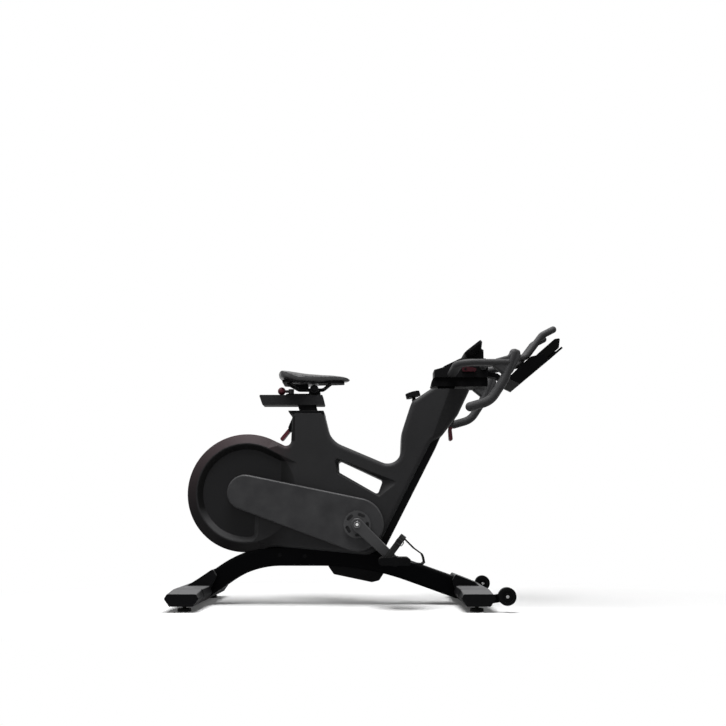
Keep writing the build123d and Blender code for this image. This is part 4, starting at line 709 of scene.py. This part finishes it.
def smooth_through(stations, count):
    """Values at places spread by a cosine through the stations, each eased by a cubic with shared slopes."""
    along = stations[:, 0]
    slope = np.gradient(stations, along, axis=0)
    turn = np.linspace(0, np.pi, count)
    x = along[0] + (along[-1] - along[0]) * (1 - np.cos(turn)) / 2
    k = np.clip(np.searchsorted(along, x, side="right") - 1, 0, len(along) - 2)
    step = (along[k + 1] - along[k])[:, None]
    t = ((x - along[k]) / step[:, 0])[:, None]
    pull, push = slope[k] * step, slope[k + 1] * step
    return (
        stations[k] * (1 + 2 * t) * (1 - t) ** 2
        + pull * t * (1 - t) ** 2
        + stations[k + 1] * t * t * (3 - 2 * t)
        + push * t * t * (t - 1)
    )


def saddle_surface():
    """Closed pad: at each station a high arch above the widest line and a fuller, flatter one below it,
    both drawn in to a point over the last stretch at tail and nose by a quarter ellipse."""
    x, half, crown, widest, under = smooth_through(SADDLE_STATIONS, SADDLE_ROWS).T
    from_end = np.minimum(x - x[0], x[-1] - x)
    inward = np.clip(1 - from_end / SADDLE_ROUND, 0, 1)
    draw = np.sqrt(np.clip(1 - inward**2, 0, 1))[:, None]
    turn = np.linspace(0, 2 * np.pi, SADDLE_COLUMNS, endpoint=False)
    c, s = np.cos(turn), np.sin(turn)
    y = half[:, None] * draw * signed_power(c, np.where(s >= 0, ARCH_POWERS[0], BELLY_POWERS[0]))
    rise = (crown - widest)[:, None] * np.clip(s, 0, 1) ** ARCH_POWERS[1]
    drop = (widest - under)[:, None] * np.clip(-s, 0, 1) ** BELLY_POWERS[1]
    z = widest[:, None] + draw * (rise - drop)
    return np.stack([np.broadcast_to(x[:, None], y.shape), y, z], -1)


def stretched_cover(pad, skin):
    """Even out the mesh, draw it in, then let air pressure swell it while its underside stays on the shell.
    No point ends further than COVER_CAP from where it started."""
    even = pad.modifiers.new("even_mesh", "REMESH")
    even.mode = "VOXEL"
    even.voxel_size = COVER_VOXEL
    pad.modifiers.new("ease", "SMOOTH").iterations = COVER_EASE
    mesh = bpy.data.meshes.new_from_object(pad.evaluated_get(bpy.context.evaluated_depsgraph_get()))
    pad.modifiers.clear()
    mesh.materials.clear()
    mesh.materials.append(skin)
    pad.data = mesh
    start = np.empty(3 * len(mesh.vertices))
    normals = np.empty_like(start)
    mesh.vertices.foreach_get("co", start)
    mesh.vertex_normals.foreach_get("vector", normals)
    start, normals = start.reshape(-1, 3), normals.reshape(-1, 3)
    held = normals[:, 2] < COVER_HELD_BELOW
    drawn = start - normals * COVER_DRAW * ~held[:, None]
    mesh.vertices.foreach_set("co", drawn.ravel())
    group = pad.vertex_groups.new(name="held")
    group.add(np.flatnonzero(held).tolist(), 1.0, "REPLACE")
    cover = pad.modifiers.new("cover", "CLOTH")
    cover.settings.vertex_group_mass = "held"
    cover.settings.use_pressure = True
    cover.settings.uniform_pressure_force = COVER_PRESSURE
    cover.settings.effector_weights.gravity = 0.0
    cover.point_cache.frame_end = COVER_FRAMES
    for number in range(1, COVER_FRAMES + 1):
        bpy.context.scene.frame_set(number)
    swollen = np.empty(start.size)
    swelled = pad.evaluated_get(bpy.context.evaluated_depsgraph_get()).to_mesh()
    swelled.vertices.foreach_get("co", swollen)
    moved = swollen.reshape(-1, 3) - drawn
    far = np.linalg.norm(moved, axis=1, keepdims=True)
    moved *= np.minimum(1, COVER_CAP / np.maximum(far, 1e-9))
    pad.modifiers.clear()
    mesh.vertices.foreach_set("co", (drawn + moved).ravel())
    mesh.polygons.foreach_set("use_smooth", np.ones(len(mesh.polygons), bool))
    mesh.update()
    bpy.context.scene.frame_set(1)
    finer = pad.modifiers.new("finer", "SUBSURF")
    finer.levels = finer.render_levels = 1


def round_tube(spots, radius):
    """Tube along a closed line: at each spot a circle across the line's direction."""
    ahead = np.roll(spots, -1, axis=0) - np.roll(spots, 1, axis=0)
    ahead /= np.linalg.norm(ahead, axis=1, keepdims=True)
    aside = np.cross(ahead, [0.0, 0.0, 1.0])
    aside /= np.linalg.norm(aside, axis=1, keepdims=True)
    above = np.cross(aside, ahead)
    turn = np.linspace(0, 2 * np.pi, WELT_STEPS, endpoint=False)
    return (
        spots[:, None]
        + aside[:, None] * np.cos(turn)[None, :, None] * radius
        + above[:, None] * np.sin(turn)[None, :, None] * radius
    )


def laid_on(spots, target):
    """Move points to the nearest places on a piece's finished surface."""
    line_mesh = bpy.data.meshes.new("laid_line")
    line_mesh.from_pydata(spots.tolist(), [], [])
    line = bpy.data.objects.new("laid_line", line_mesh)
    bpy.context.scene.collection.objects.link(line)
    line.modifiers.new("wrap", "SHRINKWRAP").target = target
    found = np.empty(spots.size)
    line.evaluated_get(bpy.context.evaluated_depsgraph_get()).to_mesh().vertices.foreach_get("co", found)
    bpy.data.objects.remove(line)
    bpy.data.meshes.remove(line_mesh)
    return found.reshape(-1, 3)


saddle_vinyl = moulded(
    "saddle_vinyl", "#222223", "#3c3c3d", 0.34, gloss=0.4, scale=420.0, relief=0.00022, edge=0.0004
)
pad_form = saddle_surface()
pad = surface_piece("saddle_cushion", pad_form, saddle_vinyl, ring=False)
stretched_cover(pad, saddle_vinyl)
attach(pad, "saddle")
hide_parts("saddle_pad")

left_side = pad_form[WELT_END:-WELT_END, WELT_COLUMN]
right_side = pad_form[WELT_END:-WELT_END, SADDLE_COLUMNS // 2 - WELT_COLUMN]
welt_line = laid_on(np.concatenate([left_side, right_side[::-1]]), pad)
welt_vinyl = moulded("welt_vinyl", "#0c0c0d", "#262627", 0.45, gloss=0.4, scale=600.0, relief=0.0001)
welt = surface_piece("saddle_welt", round_tube(welt_line, WELT_RADIUS), welt_vinyl, ring=True)
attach(welt, "saddle")

# Handlebar: a steel bar bent into arms, hoods and drops, with two horns, all dipped in dark rubber.
# It is welded to a cast carriage, painted black, that slides on the handlebar post's rail.
bar_rubber = moulded("bar_rubber", "#333334", "#4c4c4d", 0.6, gloss=0.15, scale=500.0, relief=0.00018)
wear(bar_rubber, "handlebar", "bar_horns")
wear(cast_black, "bar_carriage")

# Console: a moulded black housing on the handlebar's carriage.
# A dark screen window is bonded in its face, with two soft grey keys below it.
wear(moulded("console_black", "#0b0b0c", "#2a2a2b", 0.5, gloss=0.04), "console_housing")
screen_glass = moulded("screen_glass", "#0c0e10", "#14171a", 0.12, gloss=0.5, scale=200.0, relief=0.000004)
wear(screen_glass, "console_screen")
wear(moulded("key_grey", "#3a3a3b", "#555556", 0.6), "console_key_right", "console_key_left")

# Device tray: a black moulded ledge between the horns that holds a tablet above the bar.
# A thick rest of soft rubber is glued along it.
wear(moulded("tray_black", "#070708", "#1e1e1f", 0.5, gloss=0.01), "device_tray")
wear(moulded("rest_rubber", "#060606", "#181818", 0.7, gloss=0.04, scale=450.0, relief=0.0002), "tray_rest")

# Studio: the photograph's viewpoint, low on the right side, with plain soft light from three square lamps.
# The floor and the sky are white to the eye and in reflections, and the floor keeps the shadow near the bike.
VIEW_SPOT = (-0.02775, -2.567, 0.2872)
VIEW_PITCH = math.radians(97)
VIEW_SENSOR = 36
VIEW_LENS = 36.1
VIEW_SHIFT = (-0.0041, 0.0931)
SKY_LIGHT = 0.12
FLOOR_HALF = 30.0
FLOOR_LIT = (0.3, 0.3, 0.3, 1)
FLOOR_SEEN = (0.85, 0.85, 0.85, 1)
SHADOW_NEAR = 0.4
SHADOW_FAR = 0.9
SHADOW_SHAPE = (0.55, 1.0, 1.0)
SHADOW_WHITE = 0.05
WHITE = (1, 1, 1, 1)

camera = bpy.data.objects.new("viewpoint", bpy.data.cameras.new("viewpoint"))
bpy.context.scene.collection.objects.link(camera)
camera.location = VIEW_SPOT
camera.rotation_euler = (VIEW_PITCH, 0, 0)
camera.data.sensor_width = VIEW_SENSOR
camera.data.lens = VIEW_LENS
camera.data.shift_x, camera.data.shift_y = VIEW_SHIFT
bpy.context.scene.camera = camera
bpy.context.scene.view_settings.view_transform = "Standard"


def soft_panel(name, spot, aim, size, power):
    """Square area lamp at a spot, turned to look at its aim."""
    lamp = bpy.data.lights.new(name, "AREA")
    lamp.shape = "SQUARE"
    lamp.size = size
    lamp.energy = power
    panel = bpy.data.objects.new(name, lamp)
    bpy.context.scene.collection.objects.link(panel)
    panel.location = spot
    x, y, z = np.array(aim) - np.array(spot)
    panel.rotation_euler = (math.atan2(math.hypot(x, y), -z), 0, math.atan2(y, x) - math.pi / 2)


soft_panel("overhead", spot=(-0.2, -0.5, 2.9), aim=(0, 0, 0.4), size=1.9, power=135)
soft_panel("front_left", spot=(-2.2, -2.6, 1.6), aim=(0, 0, 0.5), size=1.6, power=10)
soft_panel("back_right", spot=(2.2, 2.6, 1.8), aim=(0, 0, 0.5), size=1.6, power=22)


def seen_rays(tree):
    """One for rays from the camera, reflections and glass, and nought for the light that fills the scene."""
    path = place(tree, "ShaderNodeLightPath").outputs
    seen = path["Is Camera Ray"]
    for ray in ("Is Glossy Ray", "Is Transmission Ray"):
        seen = number_math(tree, "MAXIMUM", seen, path[ray])
    return seen


world = bpy.data.worlds.new("studio")
bpy.context.scene.world = world
world.use_nodes = True
sky = world.node_tree
backdrop = sky.nodes["Background"].inputs
sky.links.new(ramp(sky, seen_rays(sky), 0.0, 1.0, SKY_LIGHT, 1.0), backdrop["Strength"])
backdrop["Color"].default_value = WHITE

corners = np.array([[-1.0, -1.0, 0.0], [1.0, -1.0, 0.0], [1.0, 1.0, 0.0], [-1.0, 1.0, 0.0]]) * FLOOR_HALF
floor_mesh = bpy.data.meshes.new("floor")
floor_mesh.from_pydata(corners.tolist(), [], [(0, 1, 2, 3)])
floor = bpy.data.objects.new("floor", floor_mesh)
bpy.context.scene.collection.objects.link(floor)
floor_white, tree, _ = new_finish("floor_white")
tree.nodes.remove(tree.nodes["Principled BSDF"])
away = vector_math(tree, "LENGTH", vector_math(tree, "MULTIPLY", object_place(tree), SHADOW_SHAPE))
seen = seen_rays(tree)
share = times(tree, ramp(tree, away, SHADOW_NEAR, SHADOW_FAR, SHADOW_WHITE, 1.0), seen)
lit = place(tree, "ShaderNodeBsdfDiffuse", {"Color": blend_colours(tree, seen, FLOOR_LIT, FLOOR_SEEN)})
white = place(tree, "ShaderNodeEmission", {"Color": WHITE, "Strength": 1.0})
blend = place(tree, "ShaderNodeMixShader", {0: share, 1: lit.outputs[0], 2: white.outputs[0]})
tree.links.new(blend.outputs[0], tree.nodes["Material Output"].inputs["Surface"])
floor_mesh.materials.append(floor_white)
